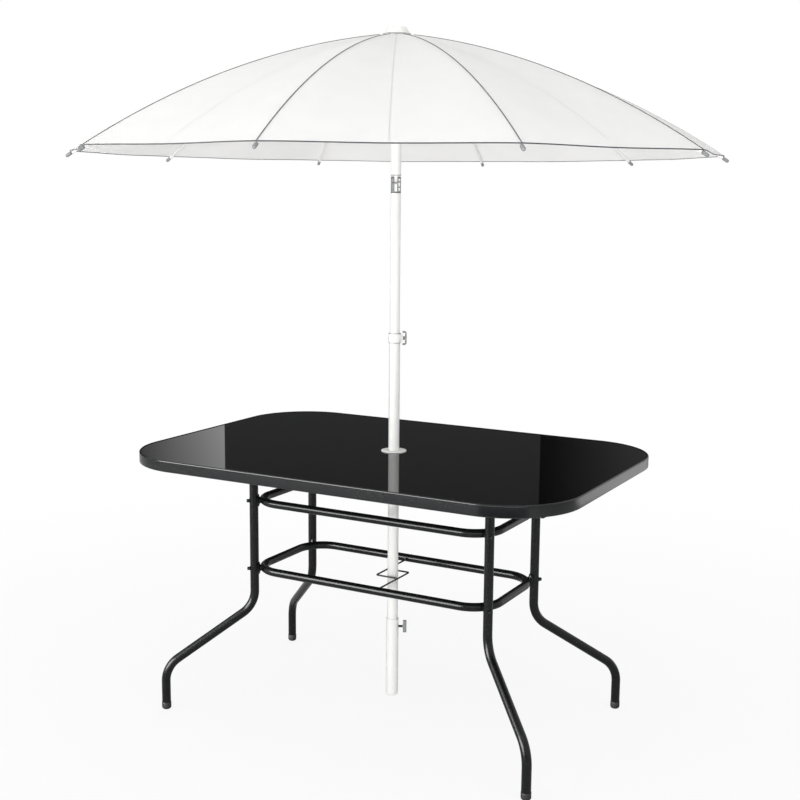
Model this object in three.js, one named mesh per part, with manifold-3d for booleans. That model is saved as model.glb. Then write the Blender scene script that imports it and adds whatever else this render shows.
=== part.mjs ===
// An outdoor dining table with a tinted glass top, bent tube legs and a tilting ten-rib umbrella.
// Millimetres, +Z up. The origin is on the floor, straight under the umbrella hole.
// +X runs along the table's length and +Y to its back.
import * as THREE from "three";
import { mergeVertices } from "three/addons/utils/BufferGeometryUtils.js";
import Module from "manifold-3d";

const wasm = await Module();
wasm.setup();

// Clearances shared by all the pieces
const seat_gap = 0.3;
const turning_gap = 0.6;
const cut_overrun = 2;

// Shares of the radius and the height where a domed head starts to round off
const dome_top_share = 2 / 3;
const dome_edge_share = 0.5;

// Table top: a glass sheet in a steel rim
const top_length = 1235;
const top_width = 840;
const top_height = 725;
const top_corner_radius = 190;
const rim_height = 30;
const rim_wall = 4;
const rim_edge_round = 1.3;
const ledge_width = 18;
const ledge_thickness = 2.5;
const glass_thickness = 5;
const glass_recess = 1.5;

// Umbrella hole ring, a white plastic bush in the glass
const hole_ring_flange_diameter = 68;
const hole_ring_flange_thickness = 3;
const hole_ring_body_diameter = 46;
const hole_ring_nut_diameter = 60;
const hole_ring_nut_thickness = 6;

// The two tube rings that tie the legs together
const ring_tube_diameter = 22;
const ring_tube_wall = 1.2;
const ring_length = 704;
const ring_width = 308;
const ring_corner_radius = 78;
const lower_ring_height = 384;
const upper_ring_below_top = 151;
const ring_boss_diameter = 15;
const ring_joint_offset = -54;
const ring_plug_length = 60;
const ring_rivet_offset = 14;
const ring_rivet_diameter = 4;
const ring_rivet_head_diameter = 8;
const ring_rivet_head_height = 1.6;

// Bent tube legs
const leg_turn_deg = 42;
const leg_tube_diameter = 24;
const leg_tube_wall = 1.2;
const leg_stand_off = 4;
const foot_reach = 245;
const splay_top_height = 281;
const splay_foot_height = 120;
const leg_bend_radius = 75;
const arm_bend_radius = 55;
const arm_end_clearance = 3;
const foot_cap_wall = 1.2;
const foot_cap_height = 20;
const foot_cap_sole = 4;
const foot_cap_round = 4;

// Bolts through the legs into the rings
const bolt_diameter = 6;
const bolt_head_diameter = 12;
const bolt_head_height = 4;
const bolt_tip_past_axis = 5;

// Bent wire that steadies the pole in the lower ring
const holder_wire_diameter = 4.5;
const holder_loop_length = 66;
const holder_loop_width = 64;
const holder_bend_radius = 6;

// Umbrella pole: a base sleeve, a lower tube and an upper tube that slides in it
const umbrella_turn_deg = 28;
const upper_pole_diameter = 26;
const pole_wall = 1.2;
const sleeve_wall = 1.8;
const sleeve_bottom_height = 42;
const sleeve_top_height = 260;
const sleeve_floor = 4;
const sleeve_round = 5;
const base_screw_height = 236;
const lower_pole_top_height = 1034;
const upper_pole_bottom_height = 560;
const collar_height = 23;
const collar_wall = 2.2;
const collar_lip = 3;

// Thumb screws on the sleeve and the collar
const screw_stem_diameter = 5;
const base_screw_stand_off = 12;
const base_screw_head_thickness = 9.8;
const base_screw_head_width = 10;
const base_screw_head_length = 35;
const collar_boss_diameter = 14;
const collar_boss_length = 4.5;
const collar_knob_stand_off = 1;
const collar_knob_thickness = 9;
const collar_knob_width = 12;
const collar_knob_length = 39;

// Tilt joint
const tilt_top_below_crown = 350;
const tilt_joint_height = 43;
const tilt_pin_below_top = 11;
const tilt_pin_diameter = 5;
const tilt_slot_width = 8.6;
const tilt_fork_rise = 8.5;
const tilt_fork_round = 18;
const tilt_tongue_round = 9;
const tilt_plug_length = 30;
const tilt_button_diameter = 5;
const tilt_button_length = 10;
const tilt_button_drop = 7;
const tilt_button_offset = 7.2;

// Crown: the hub that carries the ribs, and the finial on top
const rib_count = 10;
const crown_height = 1796;
const hub_radius = 24;
const hub_top_below_crown = 5;
const hub_height = 21;
const hub_plug_length = 25;
const hinge_radius = 19;
const hinge_below_crown = 13;
const hinge_pin_diameter = 2.6;
const hinge_pin_seat = 1.25;
const slot_inner_radius = 14;
const finial_diameter = 71;
const finial_height = 20;
const finial_flat_share = 0.58;
const finial_shoulder_share = 0.76;
const finial_shoulder_height_share = 0.83;
const finial_edge = 2;
const finial_stud_diameter = 8;

// Canopy and ribs: an arc that leaves the crown almost flat and steepens to the hem
const canopy_thickness = 1.2;
const canopy_hole_diameter = 12;
const canopy_radius = 838;
const canopy_start_radius = 30;
const canopy_start_slope_deg = 8;
const canopy_hem_slope_deg = 32;
const hem_rise = 4;
const rib_width = 5;
const rib_depth = 7;
const rib_eye_radius = 4.5;
const rib_tip_length = 19;
const rib_tip_diameter = 9;
const rib_tip_start = 1;
const rib_tip_round = 1.5;
const slot_clearance = 0.3;

// Stretchers and the runner that pushes them up
const stretcher_pivot_radius = 345;
const stretcher_depth = 6;
const stretcher_eye_radius = 3.3;
const stretcher_rivet_diameter = 3;
const fork_length = 30;
const fork_slot_length = 22;
const fork_wall = 1.5;
const runner_clearance = 0.5;
const runner_wall = 1.8;
const runner_flange_height = 12;
const runner_skirt_length = 34;
const pivot_clearance = 0.45;

// Facet counts
const tube_sides = 8;
const pole_sides = 14;
const small_sides = 6;
const round_steps = 2;
const eye_steps = 5;
const fork_end_steps = 4;
const bend_steps = 4;
const top_corner_steps = 8;
const ring_corner_steps = 4;
const canopy_steps = 6;
const canopy_steps_per_gore = 2;

// Values that follow from the sizes above
const half_top = { x: top_length / 2, y: top_width / 2 };
const upper_ring_height = top_height - upper_ring_below_top;
const glass_top_height = top_height - glass_recess;
const glass_bottom_height = glass_top_height - glass_thickness;
const ledge_bottom_height = glass_bottom_height - seat_gap - ledge_thickness;
const glass_inset = rim_wall + seat_gap;
const lower_pole_diameter = upper_pole_diameter + 2 * seat_gap + 2 * pole_wall;
const sleeve_diameter = lower_pole_diameter + 2 * seat_gap + 2 * sleeve_wall;
const ring_corner = {
  x: ring_length / 2 - ring_corner_radius,
  y: ring_width / 2 - ring_corner_radius,
};
const leg_turn = THREE.MathUtils.degToRad(leg_turn_deg);
const leg_offset = ring_corner_radius + ring_tube_diameter / 2 + leg_stand_off + leg_tube_diameter / 2;
const leg_flat_radius = (leg_tube_diameter / 2) * Math.cos(Math.PI / tube_sides);
const arm_height = ledge_bottom_height - seat_gap - leg_flat_radius;
const rail_face = ring_width / 2 - ring_tube_diameter / 2;
const tilt_top_height = crown_height - tilt_top_below_crown;
const tilt_bottom_height = tilt_top_height - tilt_joint_height;
const tilt_pin_height = tilt_top_height - tilt_pin_below_top;
const hinge_height = crown_height - hinge_below_crown;
const slot_width = rib_width + 2 * slot_clearance;
const plug_diameter = upper_pole_diameter - 2 * pole_wall - 2 * seat_gap;

// The canopy's arc: its radius comes from the run between the two slopes
const start_slope = THREE.MathUtils.degToRad(canopy_start_slope_deg);
const hem_slope = THREE.MathUtils.degToRad(canopy_hem_slope_deg);
const canopy_run = canopy_radius - canopy_start_radius;
const canopy_arc_radius = canopy_run / (Math.sin(hem_slope) - Math.sin(start_slope));

// A point of the canopy's outer arc at a share of its length, moved in below the cloth by a depth
function canopyPoint(share, depth = 0) {
  const slope = start_slope + (hem_slope - start_slope) * share;
  return {
    r: canopy_start_radius + canopy_arc_radius * (Math.sin(slope) - Math.sin(start_slope))
      - depth * Math.sin(slope),
    z: crown_height - canopy_arc_radius * (Math.cos(start_slope) - Math.cos(slope))
      - depth * Math.cos(slope),
    slope,
  };
}

// The share of the canopy's arc that reaches a radius
function canopyShare(radius) {
  const sine = Math.sin(start_slope) + (radius - canopy_start_radius) / canopy_arc_radius;
  return (Math.asin(sine) - start_slope) / (hem_slope - start_slope);
}

// The cloth falls away from a rib on both sides, so the rib's flat top sits a little lower
const rib_shoulder = (rib_width / 2) * Math.tan(Math.PI / rib_count) * Math.sin(hem_slope);
const rib_top_depth = canopy_thickness + seat_gap + rib_shoulder;
const rib_pivot = canopyPoint(canopyShare(stretcher_pivot_radius), rib_top_depth + rib_depth / 2);
const runner_pivot_height = hinge_height - 2 * (hinge_height - rib_pivot.z);
const stretcher_length = Math.hypot(rib_pivot.r - hinge_radius, rib_pivot.z - runner_pivot_height);

// Finishes
function finish(hex, roughness, metalness) {
  return new THREE.MeshStandardMaterial({ color: hex, roughness, metalness });
}

const black_steel = finish(0x1d1e1f, 0.42, 0.3);
const black_plastic = finish(0x141414, 0.55, 0);
const zinc_screw = finish(0x2a2b2c, 0.4, 0.7);
const tinted_glass = finish(0x0c0d0e, 0.05, 0);
const white_plastic = finish(0xf2f2f0, 0.45, 0);
const white_steel = finish(0xeeeeec, 0.35, 0.1);
const bright_steel = finish(0xb9bcbf, 0.3, 0.9);
const canopy_cloth = finish(0xf4f3ef, 0.9, 0);

// Turns a closed three.js geometry into a solid that can be joined and cut
function solidOf(geometry) {
  const bare = geometry.clone();
  bare.deleteAttribute("normal");
  bare.deleteAttribute("uv");
  const merged = mergeVertices(bare, 1e-4);
  return new wasm.Manifold(
    new wasm.Mesh({
      numProp: 3,
      vertProperties: merged.getAttribute("position").array,
      triVerts: new Uint32Array(merged.index.array),
    }),
  );
}

// Turns a solid back into a geometry
function geometryOf(solid) {
  const mesh = solid.getMesh();
  const geometry = new THREE.BufferGeometry();
  geometry.setAttribute("position", new THREE.BufferAttribute(mesh.vertProperties, 3));
  geometry.setIndex(new THREE.BufferAttribute(mesh.triVerts, 1));
  return geometry;
}

// Joins all the bodies in one list and cuts away all those in another
function shaped(bodies, cuts = []) {
  let solid = solidOf(bodies[0]);
  bodies.slice(1).forEach((body) => {
    solid = solid.add(solidOf(body));
  });
  cuts.forEach((body) => {
    solid = solid.subtract(solidOf(body));
  });
  return geometryOf(solid);
}

// Keeps what two bodies share
function common(body, other) {
  return geometryOf(solidOf(body).intersect(solidOf(other)));
}

function moved(geometry, x, y, z) {
  return geometry.clone().translate(x, y, z);
}

// A block centred on x and y that stands on z = 0
function block(length, width, height) {
  return new THREE.BoxGeometry(length, width, height).translate(0, 0, height / 2);
}

// A round bar along +Z that starts at z = 0
function barZ(diameter, length, sides) {
  const bar = new THREE.CylinderGeometry(diameter / 2, diameter / 2, length, sides);
  return bar.rotateX(Math.PI / 2).translate(0, 0, length / 2);
}

// The same bar along +X and along +Y
function barX(diameter, length, sides) {
  return barZ(diameter, length, sides).rotateY(Math.PI / 2);
}

function barY(diameter, length, sides) {
  return barZ(diameter, length, sides).rotateX(-Math.PI / 2);
}

// A turned body from an outline of [radius, height] pairs, listed upwards along its outside
function turned(outline, sides) {
  const points = outline.map(([radius, height]) => new THREE.Vector2(radius, height));
  return new THREE.LatheGeometry(points, sides).rotateX(Math.PI / 2);
}

// A straight tube along +Z between two heights
function tubeZ(outer_diameter, wall, low, high, sides) {
  const outer = outer_diameter / 2;
  const inner = outer - wall;
  return turned([[inner, low], [outer, low], [outer, high], [inner, high], [inner, low]], sides);
}

// A round section as a polygon, hollow where a wall is given
function tubeSection(diameter, wall, sides) {
  const ring = (radius) => Array.from({ length: sides }, (_, i) => {
    const turn = (2 * Math.PI * (i + 0.5)) / sides;
    return new THREE.Vector2(radius * Math.cos(turn), radius * Math.sin(turn));
  });
  const section = new THREE.Shape(ring(diameter / 2));
  if (wall) section.holes.push(new THREE.Path(ring(diameter / 2 - wall)));
  return section;
}

// A route that passes exactly through its stations, one station for each extrusion step
class BentRoute extends THREE.Curve {
  constructor(stations) {
    super();
    this.stations = stations;
  }

  getPoint(share, target = new THREE.Vector3()) {
    const place = share * (this.stations.length - 1);
    const index = Math.min(Math.floor(place), this.stations.length - 2);
    return target.lerpVectors(this.stations[index], this.stations[index + 1], place - index);
  }

  getPointAt(share, target) {
    return this.getPoint(share, target);
  }

  getTangentAt(share, target = new THREE.Vector3()) {
    const index = Math.round(share * (this.stations.length - 1));
    const here = this.stations[index];
    const before = this.stations[Math.max(index - 1, 0)];
    const after = this.stations[Math.min(index + 1, this.stations.length - 1)];
    const arriving = here.clone().sub(before).normalize();
    const leaving = after.clone().sub(here).normalize();
    return target.addVectors(arriving, leaving).normalize();
  }
}

// Stations along a run of corners, each corner rounded to its own radius
function roundedRoute(corners, radii, steps) {
  const stations = [corners[0].clone()];
  for (let i = 1; i < corners.length - 1; i += 1) {
    const back = corners[i - 1].clone().sub(corners[i]).normalize();
    const ahead = corners[i + 1].clone().sub(corners[i]).normalize();
    const half = back.angleTo(ahead) / 2;
    const inward = back.clone().add(ahead).normalize();
    const centre = corners[i].clone().addScaledVector(inward, radii[i - 1] / Math.sin(half));
    const start = corners[i].clone().addScaledVector(back, radii[i - 1] / Math.tan(half)).sub(centre);
    const axis = inward.clone().cross(start).normalize();
    const sweep = Math.PI - 2 * half;
    for (let step = 0; step <= steps; step += 1) {
      stations.push(start.clone().applyAxisAngle(axis, (sweep * step) / steps).add(centre));
    }
  }
  stations.push(corners[corners.length - 1].clone());
  return stations;
}

// A section swept along stations, closed at both ends
function swept(stations, section) {
  return new THREE.ExtrudeGeometry(section, {
    steps: stations.length - 1,
    extrudePath: new BentRoute(stations),
    bevelEnabled: false,
  });
}

// The outline of the table top drawn in by an inset, as a flat closed path of points
function topOutline(inset) {
  const radius = top_corner_radius - inset;
  const points = [];
  const quadrants = [[1, 1], [-1, 1], [-1, -1], [1, -1]];
  quadrants.forEach(([side_x, side_y], quadrant) => {
    for (let step = 0; step <= top_corner_steps; step += 1) {
      const turn = (Math.PI / 2) * (quadrant + step / top_corner_steps);
      points.push(new THREE.Vector2(
        side_x * (half_top.x - top_corner_radius) + radius * Math.cos(turn),
        side_y * (half_top.y - top_corner_radius) + radius * Math.sin(turn),
      ));
    }
  });
  return points;
}

// A flat sheet or band of the top's outline between two heights, its edges rounded
function topPlate(outer_inset, inner_inset, low, high, edge_round = 0) {
  const shape = new THREE.Shape(topOutline(outer_inset));
  if (inner_inset) shape.holes.push(new THREE.Path(topOutline(inner_inset)));
  const plate = new THREE.ExtrudeGeometry(shape, {
    depth: high - low - 2 * edge_round,
    bevelEnabled: edge_round > 0,
    bevelThickness: edge_round,
    bevelSize: edge_round,
    bevelOffset: -edge_round,
    bevelSegments: 2,
  });
  return plate.translate(0, 0, low + edge_round);
}

// Rim: an upright band with rounded edges and a ledge inside that carries the glass
function rimFrame() {
  const ledge_inset = rim_wall + ledge_width;
  const ledge_top_height = ledge_bottom_height + ledge_thickness;
  return shaped([
    topPlate(0, rim_wall, top_height - rim_height, top_height, rim_edge_round),
    topPlate(rim_wall / 2, ledge_inset, ledge_bottom_height, ledge_top_height),
  ]);
}

// Glass sheet with the umbrella hole
function glassTop() {
  const hole_diameter = hole_ring_body_diameter + 2 * seat_gap;
  const hole = barZ(hole_diameter, glass_thickness + 2 * cut_overrun, pole_sides);
  return shaped(
    [topPlate(glass_inset, 0, glass_bottom_height, glass_top_height)],
    [moved(hole, 0, 0, glass_bottom_height - cut_overrun)],
  );
}

// Bush for the pole: a flange on the glass, a body through it and a nut below
function holeRing() {
  const bore = lower_pole_diameter / 2 + turning_gap;
  const flange = hole_ring_flange_diameter / 2;
  const body = hole_ring_body_diameter / 2;
  const nut = hole_ring_nut_diameter / 2;
  const flange_low = glass_top_height + seat_gap;
  const flange_high = flange_low + hole_ring_flange_thickness;
  const nut_high = glass_bottom_height - seat_gap;
  const nut_low = nut_high - hole_ring_nut_thickness;
  return turned([
    [bore, nut_low],
    [nut, nut_low],
    [nut, nut_high],
    [body, nut_high],
    [body, flange_low],
    [flange, flange_low],
    [flange - hole_ring_flange_thickness / 2, flange_high],
    [bore, flange_high],
    [bore, nut_low],
  ], pole_sides);
}

// The four legs stand on the ring's corner centres, each turned to its own quadrant
const leg_places = [
  { name: "front_left", side_x: -1, side_y: -1, turn: Math.PI + leg_turn },
  { name: "front_right", side_x: 1, side_y: -1, turn: -leg_turn },
  { name: "back_right", side_x: 1, side_y: 1, turn: leg_turn },
  { name: "back_left", side_x: -1, side_y: 1, turn: Math.PI - leg_turn },
];

// How far a leg's arm runs out before it meets the rim's curved corner
function armReach() {
  const rim_corner_x = half_top.x - top_corner_radius - ring_corner.x;
  const rim_corner_y = half_top.y - top_corner_radius - ring_corner.y;
  const along = rim_corner_x * Math.cos(leg_turn) + rim_corner_y * Math.sin(leg_turn);
  const square = rim_corner_x ** 2 + rim_corner_y ** 2;
  const inner_radius = top_corner_radius - rim_wall;
  return along + Math.sqrt(along ** 2 - square + inner_radius ** 2) - arm_end_clearance;
}

// A leg in its own upright plane, x outwards: foot, splay, post and the arm under the glass
function leg() {
  const corners = [
    new THREE.Vector3(leg_offset + foot_reach, 0, foot_cap_sole + seat_gap),
    new THREE.Vector3(leg_offset + foot_reach, 0, splay_foot_height),
    new THREE.Vector3(leg_offset, 0, splay_top_height),
    new THREE.Vector3(leg_offset, 0, arm_height),
    new THREE.Vector3(armReach(), 0, arm_height),
  ];
  const stations = roundedRoute(corners, [leg_bend_radius, leg_bend_radius, arm_bend_radius], bend_steps);
  const tube = swept(stations, tubeSection(leg_tube_diameter, leg_tube_wall, tube_sides));
  const drill_length = leg_tube_diameter + 2 * cut_overrun;
  const drill = barX(bolt_diameter + 2 * seat_gap, drill_length, small_sides);
  const drill_start = leg_offset - drill_length / 2;
  return shaped([tube], [
    moved(drill, drill_start, 0, lower_ring_height),
    moved(drill, drill_start, 0, upper_ring_height),
  ]);
}

// Push-on foot cap with a flat sole
function footCap() {
  const inner = leg_tube_diameter / 2 + seat_gap;
  const outer = inner + foot_cap_wall;
  const cap = turned([
    [0, 0],
    ...arcPoints(outer - foot_cap_round, foot_cap_round, foot_cap_round, -Math.PI / 2, 0, round_steps),
    [outer, foot_cap_height],
    [inner, foot_cap_height],
    [inner, foot_cap_sole],
    [0, foot_cap_sole],
  ], 2 * tube_sides);
  return cap.translate(leg_offset + foot_reach, 0, 0);
}

// Bolt from the leg's outer side into the ring's boss
function legBolt(height) {
  const head_start = leg_offset + leg_tube_diameter / 2 + seat_gap;
  const tip = ring_corner_radius + bolt_tip_past_axis;
  const shank = moved(barX(bolt_diameter, head_start - tip + seat_gap, small_sides), tip, 0, height);
  const head = turned([
    [0, 0],
    [bolt_head_diameter / 2, 0],
    [bolt_head_diameter / 2, dome_edge_share * bolt_head_height],
    [dome_top_share * (bolt_head_diameter / 2), bolt_head_height],
    [0, bolt_head_height],
  ], tube_sides);
  head.rotateY(Math.PI / 2).translate(head_start, 0, height);
  return shaped([shank, head]);
}

// One bent tube whose ends meet on the far rail
function ringRoute(height) {
  const half_length = ring_length / 2;
  const half_width = ring_width / 2;
  const corners = [
    new THREE.Vector3(ring_joint_offset + seat_gap / 2, half_width, height),
    new THREE.Vector3(half_length, half_width, height),
    new THREE.Vector3(half_length, -half_width, height),
    new THREE.Vector3(-half_length, -half_width, height),
    new THREE.Vector3(-half_length, half_width, height),
    new THREE.Vector3(ring_joint_offset - seat_gap / 2, half_width, height),
  ];
  const radii = corners.slice(1, -1).map(() => ring_corner_radius);
  return roundedRoute(corners, radii, ring_corner_steps);
}

// A ring of tube with a saddle boss for each leg, and whatever holes its neighbours need
function tubeRing(height, cuts = []) {
  const route = ringRoute(height);
  const bore_diameter = ring_tube_diameter - 2 * ring_tube_wall;
  const bar = swept(route, tubeSection(ring_tube_diameter, 0, tube_sides));
  const bore = swept(route, tubeSection(bore_diameter, 0, tube_sides));
  const boss = moved(
    barX(ring_boss_diameter, leg_offset - ring_corner_radius, tube_sides),
    ring_corner_radius,
    0,
    height,
  );
  const post_length = ring_boss_diameter + 2 * cut_overrun;
  const post = moved(
    barZ(leg_tube_diameter + 2 * seat_gap, post_length, 2 * tube_sides),
    leg_offset,
    0,
    height - post_length / 2,
  );
  const tapped = moved(
    barX(bolt_diameter + 2 * seat_gap, leg_offset - ring_corner_radius, small_sides),
    ring_corner_radius,
    0,
    height,
  );
  const atCorner = (body, place) => body.clone()
    .rotateZ(place.turn)
    .translate(place.side_x * ring_corner.x, place.side_y * ring_corner.y, 0);
  const bosses = leg_places.map((place) => atCorner(boss, place));
  const corner_cuts = leg_places.flatMap((place) => [atCorner(post, place), atCorner(tapped, place)]);
  const rivet_hole = moved(
    barY(ring_rivet_diameter + 2 * seat_gap, ring_tube_diameter / 2 + cut_overrun, small_sides),
    ring_joint_offset + ring_rivet_offset,
    rail_face - cut_overrun,
    height,
  );
  return shaped([bar, ...bosses], [bore, ...corner_cuts, rivet_hole, ...cuts]);
}

// Plug inside the ring's butt joint, riveted through the wall
function ringJoint(height) {
  const bore_diameter = (ring_tube_diameter - 2 * ring_tube_wall) * Math.cos(Math.PI / tube_sides);
  const plug = barX(bore_diameter - 2 * seat_gap, ring_plug_length, tube_sides);
  const rivet_x = ring_joint_offset + ring_rivet_offset;
  const head_face = rail_face - seat_gap;
  const shank = barY(ring_rivet_diameter, ring_tube_diameter / 2, small_sides);
  const head = turned([
    [0, 0],
    [ring_rivet_head_diameter / 2, 0],
    [dome_top_share * (ring_rivet_head_diameter / 2), ring_rivet_head_height],
    [0, ring_rivet_head_height],
  ], tube_sides);
  head.rotateX(Math.PI / 2);
  return shaped([
    moved(plug, ring_joint_offset - ring_plug_length / 2, ring_width / 2, height),
    moved(shank, rivet_x, head_face - seat_gap, height),
    moved(head, rivet_x, head_face, height),
  ]);
}

// The holder's wires end inside the long rails of the lower ring
const holder_x = holder_loop_length / 2;

// Two hooked wires, one from each rail, that meet in a loop round the pole
function umbrellaHolder() {
  const section = tubeSection(holder_wire_diameter, 0, small_sides);
  const corners = [
    new THREE.Vector3(holder_x, -rail_face - ring_tube_wall, lower_ring_height),
    new THREE.Vector3(holder_x, holder_loop_width / 2, lower_ring_height),
    new THREE.Vector3(-holder_x, holder_loop_width / 2, lower_ring_height),
  ];
  const hook = swept(roundedRoute(corners, [holder_bend_radius], bend_steps), section);
  return shaped([hook, hook.clone().rotateZ(Math.PI)]);
}

// The lower ring's rails are drilled for the holder's wires
function lowerRing() {
  const drill_length = ring_tube_wall + 2 * cut_overrun;
  const drill = moved(
    barY(holder_wire_diameter + 2 * seat_gap, drill_length, 2 * small_sides),
    holder_x,
    -rail_face - drill_length + cut_overrun,
    lower_ring_height,
  );
  return tubeRing(lower_ring_height, [drill, drill.clone().rotateZ(Math.PI)]);
}

// Base sleeve: a cup that holds the foot of the pole
function baseSleeve() {
  const outer = sleeve_diameter / 2;
  const inner = outer - sleeve_wall;
  const floor = sleeve_bottom_height + sleeve_floor;
  const cup = turned([
    [0, sleeve_bottom_height],
    [outer - sleeve_round, sleeve_bottom_height],
    [outer, sleeve_bottom_height + sleeve_round],
    [outer, sleeve_top_height],
    [inner, sleeve_top_height],
    [inner, floor],
    [0, floor],
  ], pole_sides);
  const drill = barX(screw_stem_diameter + 2 * turning_gap, outer + cut_overrun, small_sides);
  return shaped([cup], [moved(drill, 0, 0, base_screw_height)]);
}

const lower_pole_bottom_height = sleeve_bottom_height + sleeve_floor + seat_gap;
const collar_low = lower_pole_top_height - collar_height + collar_lip + seat_gap;
const collar_high = collar_low + collar_height;
const collar_knob_height = collar_low + collar_height / 2;

// Lower pole, drilled where the collar's screw reaches the upper pole
function lowerPole() {
  const tube = tubeZ(
    lower_pole_diameter, pole_wall, lower_pole_bottom_height, lower_pole_top_height, pole_sides,
  );
  const drill = barX(screw_stem_diameter + 2 * turning_gap, lower_pole_diameter, small_sides);
  return shaped([tube], [moved(drill, 0, 0, collar_knob_height)]);
}

// Clamp collar on the end of the lower pole, with a threaded boss for its knob
function clampCollar() {
  const inner = lower_pole_diameter / 2 + seat_gap;
  const outer = inner + collar_wall;
  const lip = upper_pole_diameter / 2 + seat_gap;
  const shoulder = lower_pole_top_height + seat_gap;
  const ring = turned([
    [inner, collar_low],
    [outer, collar_low],
    [outer, collar_high],
    [lip, collar_high],
    [lip, shoulder],
    [inner, shoulder],
    [inner, collar_low],
  ], pole_sides);
  const boss_start = outer - collar_wall;
  const boss = barX(collar_boss_diameter, collar_wall + collar_boss_length, tube_sides);
  const drill_length = collar_wall + collar_boss_length + 2 * cut_overrun;
  const drill = barX(screw_stem_diameter + 2 * turning_gap, drill_length, small_sides);
  const bore = barZ(2 * inner, collar_height - collar_lip, pole_sides);
  return shaped([ring, moved(boss, boss_start, 0, collar_knob_height)], [
    moved(drill, boss_start - cut_overrun, 0, collar_knob_height),
    moved(bore, 0, 0, collar_low),
  ]);
}

// A rounded bar across the end of a screw, its length along Z
function gripBar(thickness, width, length) {
  const half = length / 2 - width / 2;
  const shape = new THREE.Shape();
  shape.absarc(0, half, width / 2, 0, Math.PI, false);
  shape.absarc(0, -half, width / 2, Math.PI, 2 * Math.PI, false);
  const bar = new THREE.ExtrudeGeometry(shape, {
    depth: thickness,
    bevelEnabled: false,
    curveSegments: small_sides / 2,
  });
  return bar.rotateX(Math.PI / 2).rotateZ(Math.PI / 2);
}

// Thumb screw with a T-shaped grip: the stem runs in from the grip to the pole
function baseScrew() {
  const tip = lower_pole_diameter / 2 + seat_gap;
  const grip_start = sleeve_diameter / 2 + base_screw_stand_off;
  const stem = barX(screw_stem_diameter, grip_start - tip + cut_overrun, small_sides);
  const grip = gripBar(base_screw_head_thickness, base_screw_head_width, base_screw_head_length);
  return shaped([
    moved(stem, tip, 0, base_screw_height),
    moved(grip, grip_start, 0, base_screw_height),
  ]);
}

// Collar knob: a wing grip on a screw that clamps the upper pole
function collarKnob() {
  const tip = upper_pole_diameter / 2 + seat_gap;
  const boss_end = lower_pole_diameter / 2 + seat_gap + collar_wall + collar_boss_length;
  const grip_start = boss_end + collar_knob_stand_off;
  const stem = barX(screw_stem_diameter, grip_start - tip + cut_overrun, small_sides);
  const grip = gripBar(collar_knob_thickness, collar_knob_width, collar_knob_length);
  return shaped([
    moved(stem, tip, 0, collar_knob_height),
    moved(grip, grip_start, 0, collar_knob_height),
  ]);
}

// Upper pole, from its lower end inside the lower pole to the tilt joint
function upperPole() {
  return tubeZ(upper_pole_diameter, pole_wall, upper_pole_bottom_height, tilt_bottom_height, pole_sides);
}

// Fork of the tilt joint: a plug in the upper pole and two cheeks with rounded tops
function tiltSocket() {
  const plug_low = tilt_bottom_height - tilt_plug_length;
  const body_low = tilt_bottom_height + seat_gap;
  const fork_top = tilt_pin_height + tilt_fork_rise;
  const plug = moved(barZ(plug_diameter, tilt_plug_length + cut_overrun, pole_sides), 0, 0, plug_low);
  const body = moved(barZ(upper_pole_diameter, fork_top - body_low, pole_sides), 0, 0, body_low);
  const crown = moved(
    barX(2 * tilt_fork_round, 2 * upper_pole_diameter, 2 * pole_sides),
    -upper_pole_diameter,
    0,
    fork_top - tilt_fork_round,
  );
  const shank = moved(block(2 * upper_pole_diameter, upper_pole_diameter, tilt_plug_length), 0, 0, body_low);
  const rounded = common(body, shaped([crown, moved(shank, 0, 0, -cut_overrun)]));
  const slot_floor = tilt_pin_height - tilt_tongue_round - turning_gap;
  const slot_height = fork_top - slot_floor + cut_overrun;
  const slot = moved(block(tilt_slot_width, 2 * upper_pole_diameter, slot_height), 0, 0, slot_floor);
  const pin_hole = barX(tilt_pin_diameter + 2 * seat_gap, 2 * upper_pole_diameter, small_sides);
  const button_hole = barY(tilt_button_diameter + 2 * seat_gap, upper_pole_diameter / 2, small_sides);
  return shaped([plug, rounded], [
    slot,
    moved(pin_hole, -upper_pole_diameter, 0, tilt_pin_height),
    moved(button_hole, -tilt_button_offset, -upper_pole_diameter / 2, buttonHeight()),
  ]);
}

function buttonHeight() {
  return tilt_pin_height - tilt_button_drop;
}

// Cross pin of the tilt joint
function tiltPin() {
  const length = upper_pole_diameter - 2 * seat_gap;
  return moved(barX(tilt_pin_diameter, length, small_sides), -length / 2, 0, tilt_pin_height);
}

// Tongue that tilts on the pin, on a plug that fills the end of the crown pole
function tiltTongue() {
  const tongue_width = tilt_slot_width - 2 * seat_gap;
  const plug = moved(barZ(plug_diameter, tilt_plug_length, pole_sides), 0, 0, tilt_top_height);
  const plate_height = tilt_pin_below_top + cut_overrun;
  const plate = moved(
    block(tongue_width, 2 * tilt_tongue_round, plate_height), 0, 0, tilt_pin_height,
  );
  const round_end = moved(
    barX(2 * tilt_tongue_round, tongue_width, 2 * small_sides),
    -tongue_width / 2,
    0,
    tilt_pin_height,
  );
  const pin_hole = barX(tilt_pin_diameter + 2 * turning_gap, 2 * tongue_width, small_sides);
  return shaped([plug, plate, round_end], [moved(pin_hole, -tongue_width, 0, tilt_pin_height)]);
}

// Push button that frees the tilt, its face flush with the pole's round so that the runner can pass
function tiltButton() {
  const bar = moved(
    barY(tilt_button_diameter, tilt_button_length, small_sides),
    -tilt_button_offset,
    -upper_pole_diameter / 2,
    buttonHeight(),
  );
  const pole = moved(
    barZ(upper_pole_diameter, tilt_button_length, pole_sides), 0, 0, buttonHeight() - tilt_button_length / 2,
  );
  return common(bar, pole);
}

const hub_top = crown_height - hub_top_below_crown;
const hub_bottom = hub_top - hub_height;

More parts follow.
